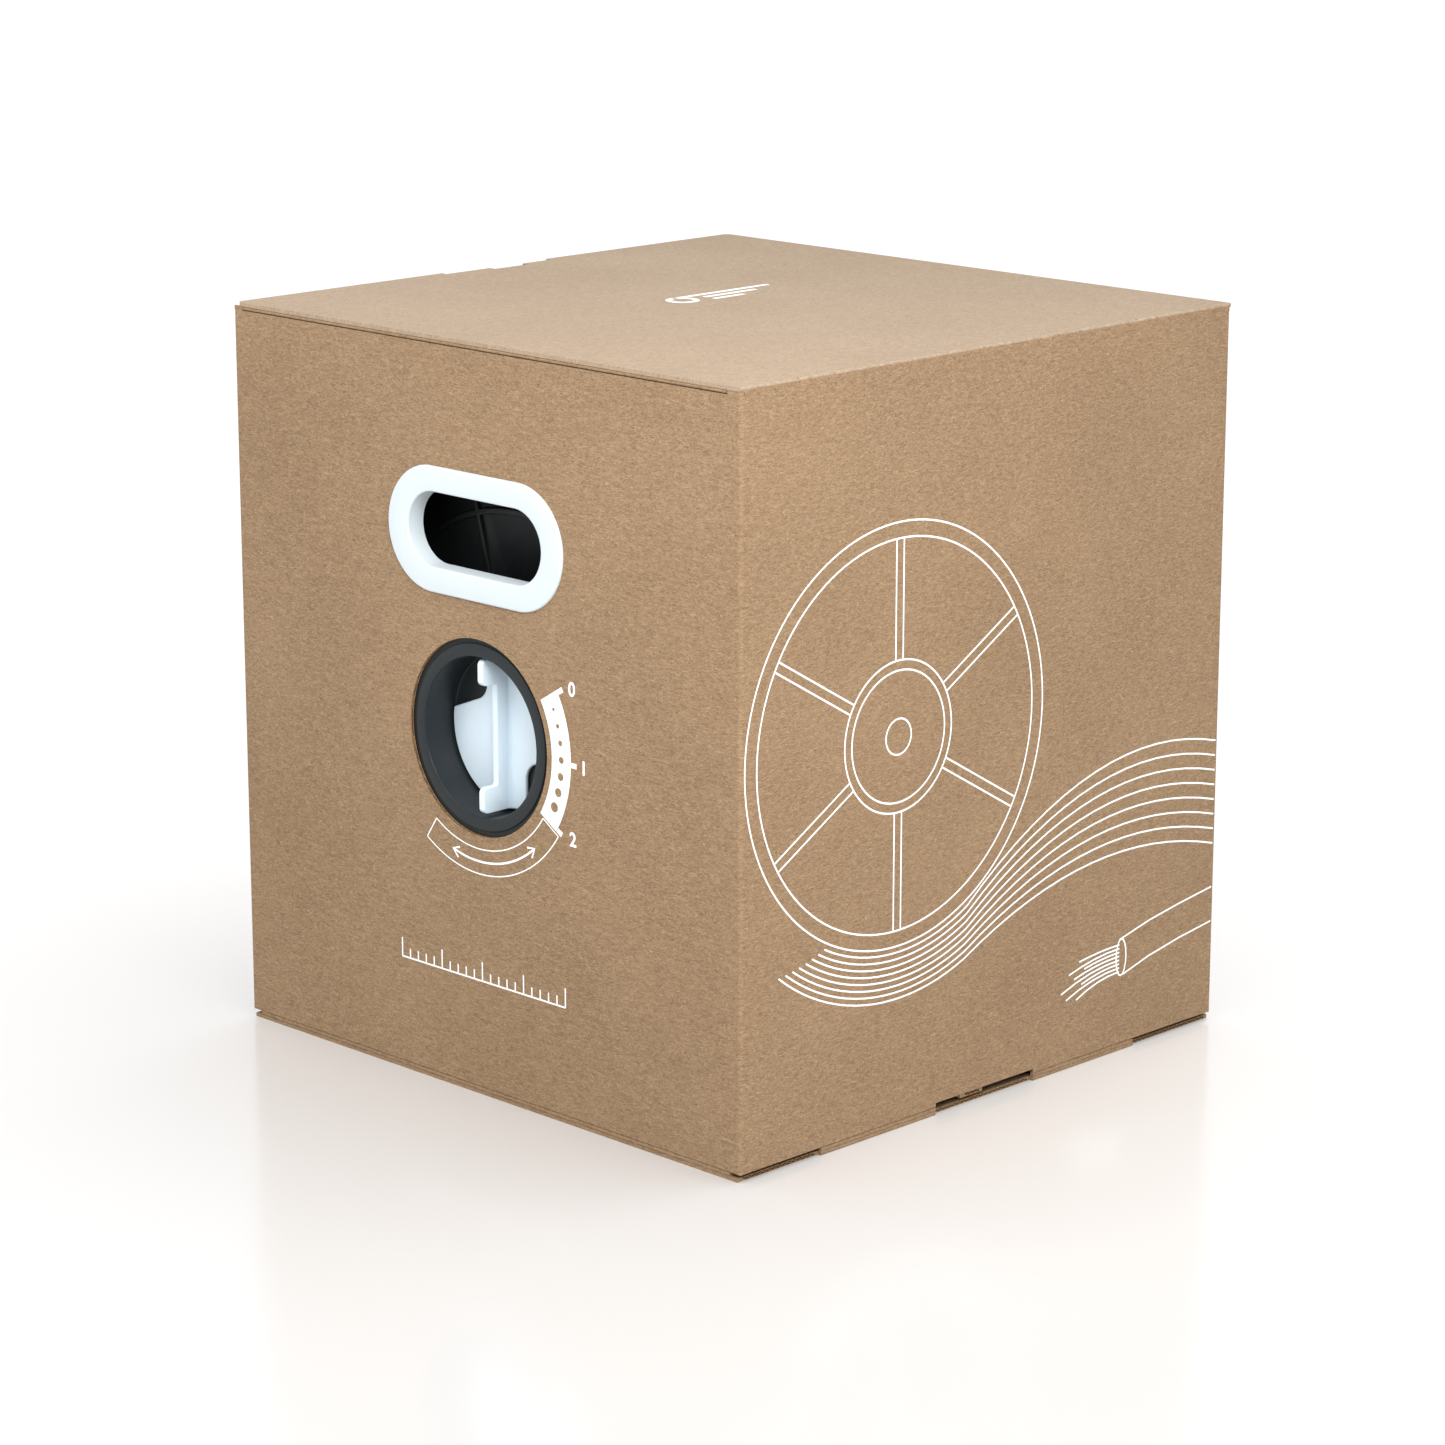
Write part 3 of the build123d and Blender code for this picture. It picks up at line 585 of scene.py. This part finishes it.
def score(middle_at, direction, reach):
    """A thin round tool that presses a crease line into a fold."""
    bpy.ops.object.select_all(action="DESELECT")
    bpy.ops.mesh.primitive_cylinder_add(vertices=10, radius=sizes().score, depth=reach, location=middle_at,
                                        rotation=Z.rotation_difference(direction).to_euler())
    return settle(bpy.context.object, "score")


def board(node, material, layers, scores=(), ends=()):
    """A panel of corrugated board. Each layer gives its middle, flute direction, cross direction, normal and spans.
    Scores are the creases pressed into it, and ends are loose blocks that belong to it."""
    name = node.removesuffix("_panel") + "_board"
    piece = from_frame(node, name)
    paint(piece, material, finish(fluting_paper))
    for layer in layers:
        cut(piece, *flute_tools(*layer))
    cut(piece, *[score(*one) for one in scores])
    for end in ends:
        paint(end, material)
    if ends:
        piece = joined(name, [piece, *ends])
    smooth(piece, 25)
    place(piece, node)


class SPOOLBOX_OT_walls(bpy.types.Operator):
    """Make the four walls and the glued seam of corrugated board."""

    bl_idname = "spool_box.walls"
    bl_label = "Carton walls"

    def execute(self, context):
        inset = sizes().crease
        low, high = -MM, LID_TOP + MM
        fold = Vector((0, 0, 2 * BOARD))
        for node, y in (("front_wall", FRONT), ("rear_wall", REAR)):
            inner = y + math.copysign(BOARD / 2, -y)
            layer = (Vector((0, inner, 0)), Z, X, Y, [(LEFT + inset, RIGHT - inset, low, high)])
            board(node, wall_paper("X"), [layer], [(fold + Y * y, X, 2.2 * RIGHT)],
                  [corner_end(x, y) for x in (LEFT, RIGHT)])
        for node, x in (("left_wall", LEFT), ("right_wall", RIGHT)):
            inner = x + math.copysign(BOARD / 2, -x)
            layer = (Vector((inner, 0, 0)), Z, Y, X, [(FRONT + inset, REAR - inset, low, high)])
            board(node, wall_paper("Y"), [layer], [(fold + X * x, Y, 2.2 * REAR)])
        layer = (Vector((0, middle("glue_tab").y, 0)), Z, X, Y, [(LEFT + inset, RIGHT, low, high)])
        board("glue_tab", wall_paper("X"), [layer])
        return {"FINISHED"}


def corner_end(x, y):
    """The short end of a front or rear wall's top fold that stands beside its dust flap."""
    flap_low, flap_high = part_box("dust_flap_front")
    inner_x = (flap_low.x if x < 0 else flap_high.x) + math.copysign(0.4 * MM, x)
    inner_y = y - math.copysign(BOARD - 0.1 * MM, y)
    outline = rounded([(inner_x, inner_y), (x, inner_y), (x, y), (inner_x, y)], 1.7 * MM, (2,))
    top = LID_TOP - BOARD - 0.1 * MM
    wall_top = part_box("front_wall")[1].z
    return prism("corner_end", [Vector((a, b, wall_top)) for a, b in outline], Z * (top - wall_top))


class SPOOLBOX_OT_lid(bpy.types.Operator):
    """Make the lid and the two dust flaps of corrugated board."""

    bl_idname = "spool_box.lid"
    bl_label = "Lid and dust flaps"

    def execute(self, context):
        inset = sizes().crease
        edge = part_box("lid")[0].x
        hinge = RIGHT - inset
        spans = [(-TAB_NEAR, TAB_NEAR, edge - MM, hinge)]
        for side in (-1, 1):
            spans.append((*sorted((side * TAB_NEAR, side * TAB_FAR)), edge + inset, hinge))
            spans.append((*sorted((side * TAB_FAR, side * (REAR + sizes().flute_pitch))), edge - MM, hinge))
        layer = (Vector((0, 0, LID_TOP - BOARD / 2)), X, Y, Z, spans)
        # The lid's liner is the walls' kraft painted lighter: painted light for the light from above.
        board("lid", finish(kraft_paper, "kraft_liner_lid", "kraft_lid", "Y"), [layer])
        skin = fold_skin()
        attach(skin, "carton")
        for node, side in (("dust_flap_front", -1), ("dust_flap_rear", 1)):
            reach = sorted((side * (REAR - inset), side * FLAP_END))
            layer = (Vector((0, 0, middle(node).z)), Y, X, Z, [(LEFT, RIGHT, *reach)])
            board(node, wall_paper("X"), [layer])
        return {"FINISHED"}


def fold_skin():
    """The paper that bridges the lid's fold, from the right wall's top up to the round crease."""
    wall_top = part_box("right_wall")[1].z
    hinge = Vector((RIGHT - BOARD / 2, 0, LID_TOP - BOARD / 2))
    near = FRONT + 0.3 * MM
    radius = BOARD / 2 + 0.02 * MM
    points = [Vector((RIGHT, near, wall_top))]
    for step in range(8):
        angle = math.radians(-22 - 66 * step / 7)
        points.append(hinge + Vector((math.cos(angle), 0, math.sin(angle))) * radius + Y * near)
    points.append(Vector((hinge.x, near, wall_top)))
    skin = prism("lid_fold_skin", points, Y * -2 * near)
    paint(skin, wall_paper("Y"))
    smooth(skin)
    return skin


class SPOOLBOX_OT_bottom(bpy.types.Operator):
    """Make the crash-lock bottom: two flaps, the outer panel and the inner locking panel."""

    bl_idname = "spool_box.bottom"
    bl_label = "Carton bottom"

    def execute(self, context):
        inset = sizes().crease
        for node, side in (("bottom_flap_front", -1), ("bottom_flap_rear", 1)):
            reach = sorted((side * (REAR - inset), side * FLAP_END))
            layer = (Vector((0, 0, middle(node).z)), Y, X, Z, [(LEFT, RIGHT, *reach)])
            scores = [(Vector((0, side * REAR, height * BOARD)), X, 2.2 * RIGHT) for height in (1, 2)]
            board(node, wall_paper("X"), [layer], scores)
        edges = [FRONT, *WEBS[0], *WEBS[1], REAR]
        spans = []
        for number, (near, far) in enumerate(zip(edges, edges[1:])):
            spans.append((near, far, LEFT - MM, RIGHT - inset if number % 2 else RIGHT + MM))
        layer = (Vector((0, 0, BOARD / 2)), X, Y, Z, spans)
        board("bottom_outer_panel", wall_paper("Y"), [layer],
              [(Vector((RIGHT, 0, height * BOARD)), Y, 2.2 * REAR) for height in (1, 2)])
        spans = [(FRONT, TONGUE[0], LEFT + inset, FLAP_END), (*TONGUE, LEFT + inset, RIGHT),
                 (TONGUE[1], REAR, LEFT + inset, FLAP_END)]
        layer = (Vector((0, 0, BOARD * 2.5)), X, Y, Z, spans)
        board("bottom_inner_panel", wall_paper("Y"), [layer])
        return {"FINISHED"}


class SPOOLBOX_OT_pads(bpy.types.Operator):
    """Make the double-wall board pads that carry the bearing cups."""

    bl_idname = "spool_box.pads"
    bl_label = "Bearing pads"

    def execute(self, context):
        for node in ("bearing_pad_front", "bearing_pad_rear"):
            y = middle(node).y
            span = [(LEFT, RIGHT, 0, LID_TOP)]
            layers = [(Vector((0, y + side * BOARD / 2, 0)), Z, X, Y, span) for side in (-1, 1)]
            board(node, wall_paper("X"), layers)
        return {"FINISHED"}


# ---------------------------------------------------------------- plastic and metal
def rounded(outline, radius, corners, steps=4):
    """An outline with some of its corners, given by number, rounded off."""
    made = []
    count = len(outline)
    for number, point in enumerate(outline):
        here = Vector(point)
        if number not in corners:
            made.append(tuple(here))
            continue
        before = (Vector(outline[number - 1]) - here).normalized()
        after = (Vector(outline[(number + 1) % count]) - here).normalized()
        half = before.angle(after) / 2
        setback = radius / math.tan(half)
        centre = here + (before + after).normalized() * (radius / math.sin(half))
        start, end = here + before * setback - centre, here + after * setback - centre
        for step in range(steps + 1):
            made.append(tuple(centre + start.slerp(end, step / steps).normalized() * radius))
    return made


class SPOOLBOX_OT_hand_holes(bpy.types.Operator):
    """Make the slot-shaped trims of the hand holes and their snap-on backing rings."""

    bl_idname = "spool_box.hand_holes"
    bl_label = "Hand hole trims"

    def execute(self, context):
        centre = Vector((0, FRONT, HAND_Z))
        half_length = 29.5 * MM
        outline = [(32, 0.02), (32, -1.3), (19, -1.3), (19, 9), (21.1, 9), (21.1, 0.02)]
        bezel = turned("hand_hole_trim_front", rounded(outline, 0.9, (1, 2)), centre, steps=98)
        stretch(bezel, centre, 2 * MM, beyond=21.5 * MM)
        stretch(bezel, centre, half_length)
        smooth(bezel)
        outline = [(21.15, 2.02), (21.15, 3.5), (28.5, 3.5), (28.5, 2.02)]
        ring = turned("backing_ring_front", rounded(outline, 0.4, (1, 2)), centre, steps=98)
        stretch(ring, centre, 1.5 * MM, beyond=24 * MM)
        stretch(ring, centre, half_length)
        smooth(ring)
        for piece, name, node in ((bezel, "hand_hole_trim_rear", "hand_hole_bezel"),
                                  (ring, "backing_ring_rear", "bezel_backing_ring")):
            rear = turned_round(piece, name)
            smooth(rear)
            place(piece, node + "_front", plastic("trim"))
            place(rear, node + "_rear", plastic("trim"))
        return {"FINISHED"}


class SPOOLBOX_OT_bearings(bpy.types.Operator):
    """Make the bearing cups that the reel turns on."""

    bl_idname = "spool_box.bearings"
    bl_label = "Bearing cups"

    def execute(self, context):
        centre = Vector((0, FRONT, AXLE_Z))
        depth = (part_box("bearing_cup_front")[1].y - FRONT) / MM
        rim = [(41, 21.5), (41, 1.3), (47.8, 1.3), (47.8, depth), (41, depth), (41, 24.5)]
        for side, bore in (("front", 8), ("rear", 0)):
            outline = [(bore, 21.5), *rim, (bore, 24.5)]
            tube = turned("cup_tube", rounded(outline, 0.7, (1, 2, 3)), centre, steps=128)
            paint(tube, plastic("cup"), plastic("reel"))
            plate = flange_plate(centre)
            paint(plate, plastic("reel"))
            shells = [tube, plate]
            if side == "front":
                shells += [guide_key(centre, angle) for angle in (90, 210, 330)]
            cup = joined("bearing_cup_body_" + side, shells)
            if side == "rear":
                cup.matrix_world = Matrix.Rotation(math.pi, 4, "Z")
                settle(cup, cup.name)
            smooth(cup)
            place(cup, "bearing_cup_" + side)
        return {"FINISHED"}


def flange_plate(centre):
    """The cup's square flange behind the wall, with rounded corners and a round hole for the tube."""
    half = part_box("bearing_cup_front")[1].x
    corners = rounded([(-half, -half), (half, -half), (half, half), (-half, half)], 3 * MM, (0, 1, 2, 3))
    points = [centre + Vector((x, BOARD + 0.02 * MM, z)) for x, z in corners]
    plate = prism("cup_flange", points, Y * 2.96 * MM)
    hole = turned("cup_flange_hole", [(0, 0), (47.4, 0), (47.4, 8), (0, 8)], centre, steps=128)
    cut(plate, hole)
    soften(plate, 0.3 * MM, 2)
    return plate


def guide_key(centre, angle):
    """One of the ribs inside the cup that stop the pressure plate from turning."""
    turn = Matrix.Rotation(math.radians(-angle), 3, "Y")
    corners = [(39, -2.5), (41.5, -2.5), (41.5, 2.5), (39, 2.5)]
    points = [centre + turn @ Vector((x * MM, 24.2 * MM, z * MM)) for x, z in corners]
    return prism("cup_key", points, Y * 11.7 * MM)


class SPOOLBOX_OT_knob(bpy.types.Operator):
    """Make the tension knob and the brake behind it."""

    bl_idname = "spool_box.knob"
    bl_label = "Tension knob"

    def execute(self, context):
        knob = from_frame("tension_knob", "tension_knob_body")
        soften(knob, sizes().soft_edge, 3, 35)
        place(knob, "tension_knob", plastic("knob"))
        for node in ("knob_shaft", "knob_retaining_ring"):
            paint(NODES[node], finish(zinc_steel))
        paint(NODES["pressure_plate"], plastic("cup"))
        paint(NODES["friction_pad"], finish(wool_felt))
        spring = from_frame("brake_spring", "brake_spring_wire")
        smooth(spring)
        paint(spring, finish(zinc_steel))
        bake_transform(spring)
        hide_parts("brake_spring")
        return {"FINISHED"}


class SPOOLBOX_OT_reel(bpy.types.Operator):
    """Make the reel's flanges, hubs, rods, core and end clip."""

    bl_idname = "spool_box.reel"
    bl_label = "Reel"

    def execute(self, context):
        for node in ("reel_flange_front", "reel_flange_rear", "reel_hub_front", "reel_hub_rear", "cable_end_clip"):
            moulding = from_frame(node, node + "_moulding")
            soften(moulding, 0.45 * MM, 2, 40)
            place(moulding, node, plastic("reel"))
        paint(NODES["reel_tie_rods"], finish(zinc_steel))
        paint(NODES["reel_core"], finish(wound_paper_tube))
        return {"FINISHED"}


class SPOOLBOX_OT_cable(bpy.types.Operator):
    """Make the wound cable, turn by turn, over the layers beneath."""

    bl_idname = "spool_box.cable"
    bl_label = "Wound cable"

    def execute(self, context):
        low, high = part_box("cable_pack")
        radius = sizes().cable / 2
        pack = (high.x - low.x) / 2
        width = high.y - low.y
        turns = int((width - 2 * radius) / (sizes().cable * 1.012))
        pitch = (width - 2 * radius - 0.2 * MM) / turns
        bpy.ops.object.select_all(action="DESELECT")
        bpy.ops.mesh.primitive_circle_add(vertices=10, radius=radius, location=(0, 0, AXLE_Z))
        cable = bpy.context.object
        open_mesh(cable)
        bpy.ops.transform.translate(value=(pack - radius, low.y + radius + 0.1 * MM, 0))
        close_mesh()
        apply_modifier(cable, "SCREW", axis="Y", steps=72, render_steps=72, angle=2 * math.pi,
                       screw_offset=pitch, iterations=turns, use_merge_vertices=False)
        open_mesh(cable)
        bpy.ops.mesh.select_non_manifold(extend=False)
        bpy.ops.mesh.edge_face_add()
        clean()
        close_mesh()
        settle(cable, "cable_turns")
        core, top, near, far = 73.1, 133.6, low.y / MM + 0.1, high.y / MM - 0.1
        bed = turned("cable_bed", [(core, near), (top, near), (top, far), (core, far)], Vector((0, 0, AXLE_Z)))
        pack_of_cable = joined("cable_winding", [cable, bed])
        smooth(pack_of_cable, 60)
        place(pack_of_cable, "cable_pack", plastic("jacket"))
        return {"FINISHED"}


class SPOOLBOX_OT_outlet(bpy.types.Operator):
    """Make the bushing that the cable leaves through, and its nut."""

    bl_idname = "spool_box.outlet"
    bl_label = "Cable outlet"

    def execute(self, context):
        centre = Vector((LEFT, 0, OUTLET_Z))
        outline = [(10, -1.2), (20, -1.2), (20, 0), (14, 0), (14, 12), (10, 12)]
        bushing = turned("cable_outlet_bushing", rounded(outline, 0.8, (0, 1)), centre, axis=X)
        smooth(bushing)
        place(bushing, "cable_outlet", plastic("trim"))
        nut = from_frame("outlet_nut", "cable_outlet_nut")
        soften(nut, sizes().soft_edge, 2)
        place(nut, "outlet_nut", plastic("trim"))
        return {"FINISHED"}


# ---------------------------------------------------------------- print
def on_front(u, v):
    """A point on the front wall, u to the right and v up from the axle, in millimetres."""
    return Vector((u * MM, FRONT, AXLE_Z + v * MM))


def on_right(u, v):
    """A point on the right wall, u along +Y and v up from the floor, in millimetres."""
    return Vector((RIGHT, u * MM, v * MM))


def on_lid(u, v):
    """A point on the lid, u along +Y and v along -X, in millimetres."""
    return Vector((-v * MM, u * MM, LID_TOP))


def polar(radius, angle, centre=(0, 0)):
    """The point at a distance and an angle in degrees, anticlockwise from the right."""
    turn = math.radians(angle)
    return centre[0] + radius * math.cos(turn), centre[1] + radius * math.sin(turn)


def arc(radius, start, end, centre=(0, 0), step=3.0):
    """Points of an arc between two angles in degrees."""
    count = max(2, int(abs(end - start) / step) + 1)
    return [polar(radius, start + (end - start) * number / count, centre) for number in range(count + 1)]


def print_lines(name, lines, surface, normal, width):
    """Printed lines as one piece: round strokes pressed nearly flat on a wall."""
    curve = bpy.data.curves.new(name, "CURVE")
    curve.dimensions = "3D"
    curve.bevel_depth = width / 2
    curve.bevel_resolution = 1
    curve.use_fill_caps = True
    for line in lines:
        spline = curve.splines.new("POLY")
        spline.points.add(len(line) - 1)
        for point, (u, v) in zip(spline.points, line):
            point.co = (*(surface(u, v) - surface(0, 0)), 1)
    piece = bpy.data.objects.new(name, curve)
    bpy.context.scene.collection.objects.link(piece)
    select_only(piece)
    bpy.ops.object.convert(target="MESH")
    piece = bpy.context.object
    thickness = sizes().ink * 2.5
    piece.scale = Vector((1, 1, 1)) - Vector(map(abs, normal)) * (1 - thickness / width)
    piece.location = surface(0, 0) - normal * (thickness / 2 - sizes().ink)
    settle(piece, name)
    smooth(piece, 60)
    return piece


def print_band(name, inner, outer, start, end):
    """A filled arc band on the front wall, spun from a short radial edge, as thick as the ink."""
    lift = -Y * sizes().ink
    piece = drawn([on_front(*polar(radius, start)) + lift for radius in (inner, outer)], closed=False)
    steps = max(4, int(abs(end - start) / 2))
    bpy.ops.mesh.spin(steps=steps, angle=math.radians(end - start), center=on_front(0, 0), axis=Y)
    clean()
    bpy.ops.mesh.extrude_region_move(TRANSFORM_OT_translate={"value": -lift * 2})
    clean()
    close_mesh()
    return settle(piece, name)


def printed_number(text, u, v, height):
    """A plain number on the front wall, its left edge at u and its middle at v."""
    bpy.ops.object.select_all(action="DESELECT")
    bpy.ops.object.text_add()
    piece = bpy.context.object
    piece.data.body = text
    piece.data.size = height * MM / 0.7
    piece.data.extrude = sizes().ink
    piece.data.offset = 0.00022
    piece.data.resolution_u = 6
    bpy.ops.object.convert(target="MESH")
    piece = bpy.context.object
    piece.rotation_euler = (math.pi / 2, 0, 0)
    piece.location = on_front(u, v - height / 2)
    return settle(piece, "number_" + text)


class SPOOLBOX_OT_print(bpy.types.Operator):
    """Print the dial, its plain numbers and the plain line drawings in white."""

    bl_idname = "spool_box.print"
    bl_label = "White print"

    def execute(self, context):
        stroke = sizes().stroke
        front = joined("print_front", [dial_band(), *dial_marks(), *label_lines(), length_scale()])
        side = print_lines("print_right", side_drawing(), on_right, X, stroke)
        top = print_lines("print_lid", lid_mark(), on_lid, Z, stroke * 3.6)
        for piece, body in ((front, "carton"), (side, "carton"), (top, "lid")):
            paint(piece, finish(printed_ink))
            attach(piece, body)
        return {"FINISHED"}


def dial_band():
    """The dial's band beside the cup, with a row of growing holes in it."""
    band = print_band("dial_band", 54, 67.5, -33, 31)
    for number in range(7):
        spot = on_front(*polar(60.7, 24 - 8 * number))
        size = 0.9 + 0.28 * number
        cut(band, turned("dial_spot", [(0, -1), (size, -1), (size, 1), (0, 1)], spot, steps=24))
    return band


def dial_marks():
    """The dial's three ticks and the plain numbers beside them."""
    marks = [print_band("dial_tick", 67.8, 71.5, angle - 1.1, angle + 1.1) for angle in (29.9, -1, -31.9)]
    for text, u, v in (("0", 66, 37), ("1", 74, -1), ("2", 66, -38.5)):
        marks.append(printed_number(text, u, v, 7.0))
    return marks


def label_lines():
    """The curved frame under the cup and the double arrow in it."""
    start, end = -34, -124
    inner, outer = arc(57, start, end), arc(70, start, end)
    frame_lines = [inner, outer, [inner[0], outer[0]], [inner[-1], outer[-1]]]
    arrow = [arc(63.5, -50, -108)]
    for angle, way in ((-50, 1), (-108, -1)):
        back = angle - way * 4.2
        arrow.append([polar(60.6, back), polar(63.5, angle), polar(66.4, back)])
    return [print_lines("dial_lines", frame_lines, on_front, -Y, sizes().stroke * 0.7),
            print_lines("dial_arrow", arrow, on_front, -Y, sizes().stroke * 1.2)]


def length_scale():
    """A plain ruler line near the front wall's foot."""
    base, pitch = -126, 6.1
    lines = [[(-60, base), (62, base)]]
    for number in range(21):
        u = -60 + pitch * number
        lines.append([(u, base), (u, -116 if number % 5 == 0 else -121)])
    return print_lines("length_scale", lines, on_front, -Y, sizes().stroke)


def side_drawing():
    """A plain drawing of a reel, the cable that runs off it and its bared end."""
    hub, edge = (-70, 201), 176
    lines = [arc(radius, 0, 360, hub) for radius in (106, 98, 38, 33)] + [arc(9, 0, 360, hub, step=8)]
    for number in range(6):
        angle = 30 + 60 * number
        for shift in (-2.6, 2.6):
            foot = polar(shift, angle + 90, hub)
            lines.append([polar(38, angle, foot), polar(98, angle, foot)])
    for number in range(8):
        leaves_at = -62 - 0.9 * number
        line = arc(109.2 + 3.4 * number, -118 - 1.5 * number, leaves_at, hub)
        u, v = line[-1]
        slope = math.tan(math.radians(leaves_at + 90))
        end_v = 154 - 8.0 * number
        for step in range(1, 17):
            t = step / 16
            run = (edge - u) * t
            line.append((u + run, (v + slope * run) * (1 - t) + end_v * t))
        lines.append(line)
    return lines + cable_end()


def cable_end():
    """The end of the cable: two jacket lines, the round cut and eight wires."""
    lines = [[(176, 74), (150, 70.5), (125, 66.5), (101, 61)], [(176, 55), (150, 51.5), (125, 47), (104, 41.5)]]
    lines.append([(102.5 + 4 * math.cos(t / 8 * math.pi), 51.2 + 10 * math.sin(t / 8 * math.pi)) for t in range(17)])
    wires = ((34, 0.16), (42, 0.14), (30, 0.10), (46, 0.13), (36, 0.09), (28, 0.07), (40, 0.1), (32, 0.05))
    for number, (reach, droop) in enumerate(wires):
        v = 43.5 + 2.1 * number
        lines.append([(101 - reach * t, v - reach * droop * t * t * 1.4) for t in (0, 0.25, 0.5, 0.75, 1)])
    return lines


def lid_mark():
    """A plain coil of cable with a straight tail."""
    return [arc(7.2, 90, 450, (-13.5, 22), step=8), [(-13.5, 29.2), (56.5, 29.2)], [(2, 22), (40, 22)],
            [(2, 14.8), (24, 14.8)]]


# ---------------------------------------------------------------- stage
class SPOOLBOX_OT_stage(bpy.types.Operator):
    """Set the camera, the pale floor and the soft studio light."""

    bl_idname = "spool_box.stage"
    bl_label = "Stage"

    def execute(self, context):
        scene = context.scene
        add_camera(scene)
        floor = add_floor()
        scene.world = studio_world()
        bpy.ops.object.light_add(type="SUN", location=(0, 0, 3), rotation=(math.radians(-12), math.radians(10), 0))
        overhead = context.object
        overhead.name = "overhead"
        overhead.data.energy = 1.25
        overhead.data.angle = math.radians(70)
        soft_light("corner_front", (0.98, -0.66, 0.97), 0.7, 16.5, floor)
        soft_light("front_top", (-0.2, -1.05, 1.15), 0.6, 6.5, floor)
        scene.view_settings.view_transform = "Standard"
        scene.view_settings.look = "None"
        return {"FINISHED"}


def add_camera(scene):
    """A long lens that looks slightly down at the corner between the front and right walls."""
    azimuth, pitch, distance = math.radians(44.897), math.radians(14.305), 2276.557 * MM
    forward = Vector((-math.sin(azimuth) * math.cos(pitch), math.cos(azimuth) * math.cos(pitch), -math.sin(pitch)))
    aside, height = -4.579 * MM, 162.374 * MM
    aim = Vector((aside * math.cos(azimuth), aside * math.sin(azimuth), height))
    bpy.ops.object.camera_add(location=aim - forward * distance)
    camera = bpy.context.object
    camera.rotation_euler = forward.to_track_quat("-Z", "Y").to_euler()
    camera.data.lens = 107.9
    camera.data.sensor_width = 36
    camera.data.clip_end = 100
    scene.camera = camera


def add_floor():
    """A wide white floor with a soft gloss."""
    bpy.ops.object.select_all(action="DESELECT")
    bpy.ops.mesh.primitive_plane_add(size=40)
    floor = bpy.context.object
    floor.name = "floor"
    material, shader = new_material("white_acrylic_floor")
    wire(material, shader, {"Base Color": linear("F7F6F4"), "Roughness": 0.16, "Specular IOR Level": 0.6,
                            "Emission Color": linear("FFFFFF"), "Emission Strength": 0.16})
    paint(floor, material)
    return floor


def studio_world():
    """A white surround, brighter at the horizon than overhead."""
    world = bpy.data.worlds.new("studio")
    world.use_nodes = True
    look = add_node(world, "ShaderNodeTexCoord"), "Generated"
    split = add_node(world, "ShaderNodeSeparateXYZ", {"Vector": look})
    wire(world, world.node_tree.nodes["Background"], {"Strength": ramp(world, (split, "Z"), 0, 1, 1.05, 0.45),
                                                      "Color": linear("FCFDFF")})
    return world


def soft_light(name, location, size, power, floor):
    """A square soft box that faces the middle of the box and leaves the floor alone."""
    bpy.ops.object.light_add(type="AREA", location=location)
    light = bpy.context.object
    light.name = name
    light.data.size = size
    light.data.energy = power
    box_middle = Vector((0, 0, 190 * MM))
    light.rotation_euler = (box_middle - Vector(location)).to_track_quat("-Z", "Y").to_euler()
    unlit = bpy.data.collections.new(name + "_receivers")
    unlit.objects.link(floor)
    light.light_linking.receiver_collection = unlit
    unlit.collection_objects[0].light_linking.link_state = "EXCLUDE"


MAKERS = (
    SPOOLBOX_OT_stage,
    SPOOLBOX_OT_walls,
    SPOOLBOX_OT_lid,
    SPOOLBOX_OT_bottom,
    SPOOLBOX_OT_pads,
    SPOOLBOX_OT_hand_holes,
    SPOOLBOX_OT_bearings,
    SPOOLBOX_OT_knob,
    SPOOLBOX_OT_reel,
    SPOOLBOX_OT_cable,
    SPOOLBOX_OT_outlet,
    SPOOLBOX_OT_print,
)


class SPOOLBOX_PT_panel(bpy.types.Panel):
    """Lists the sizes, the colours and the makers."""

    bl_idname = "SPOOLBOX_PT_panel"
    bl_label = "Spool Box"
    bl_space_type = "VIEW_3D"
    bl_region_type = "UI"
    bl_category = "Spool Box"

    def draw(self, context):
        for maker in MAKERS:
            self.layout.operator(maker.bl_idname)
        for group in (context.scene.spool_box_sizes, context.scene.spool_box_colours):
            column = self.layout.column(align=True)
            for key in group.__annotations__:
                column.prop(group, key)


CLASSES = (SpoolBoxSizes, SpoolBoxColours, *MAKERS, SPOOLBOX_PT_panel)


def register():
    for one in CLASSES:
        bpy.utils.register_class(one)
    bpy.types.Scene.spool_box_sizes = PointerProperty(type=SpoolBoxSizes)
    bpy.types.Scene.spool_box_colours = PointerProperty(type=SpoolBoxColours)


def unregister():
    del bpy.types.Scene.spool_box_colours
    del bpy.types.Scene.spool_box_sizes
    for one in reversed(CLASSES):
        bpy.utils.unregister_class(one)


def main():
    register()
    for maker in MAKERS:
        group, name = maker.bl_idname.split(".")
        getattr(getattr(bpy.ops, group), name)()


if __name__ == "__main__":
    main()
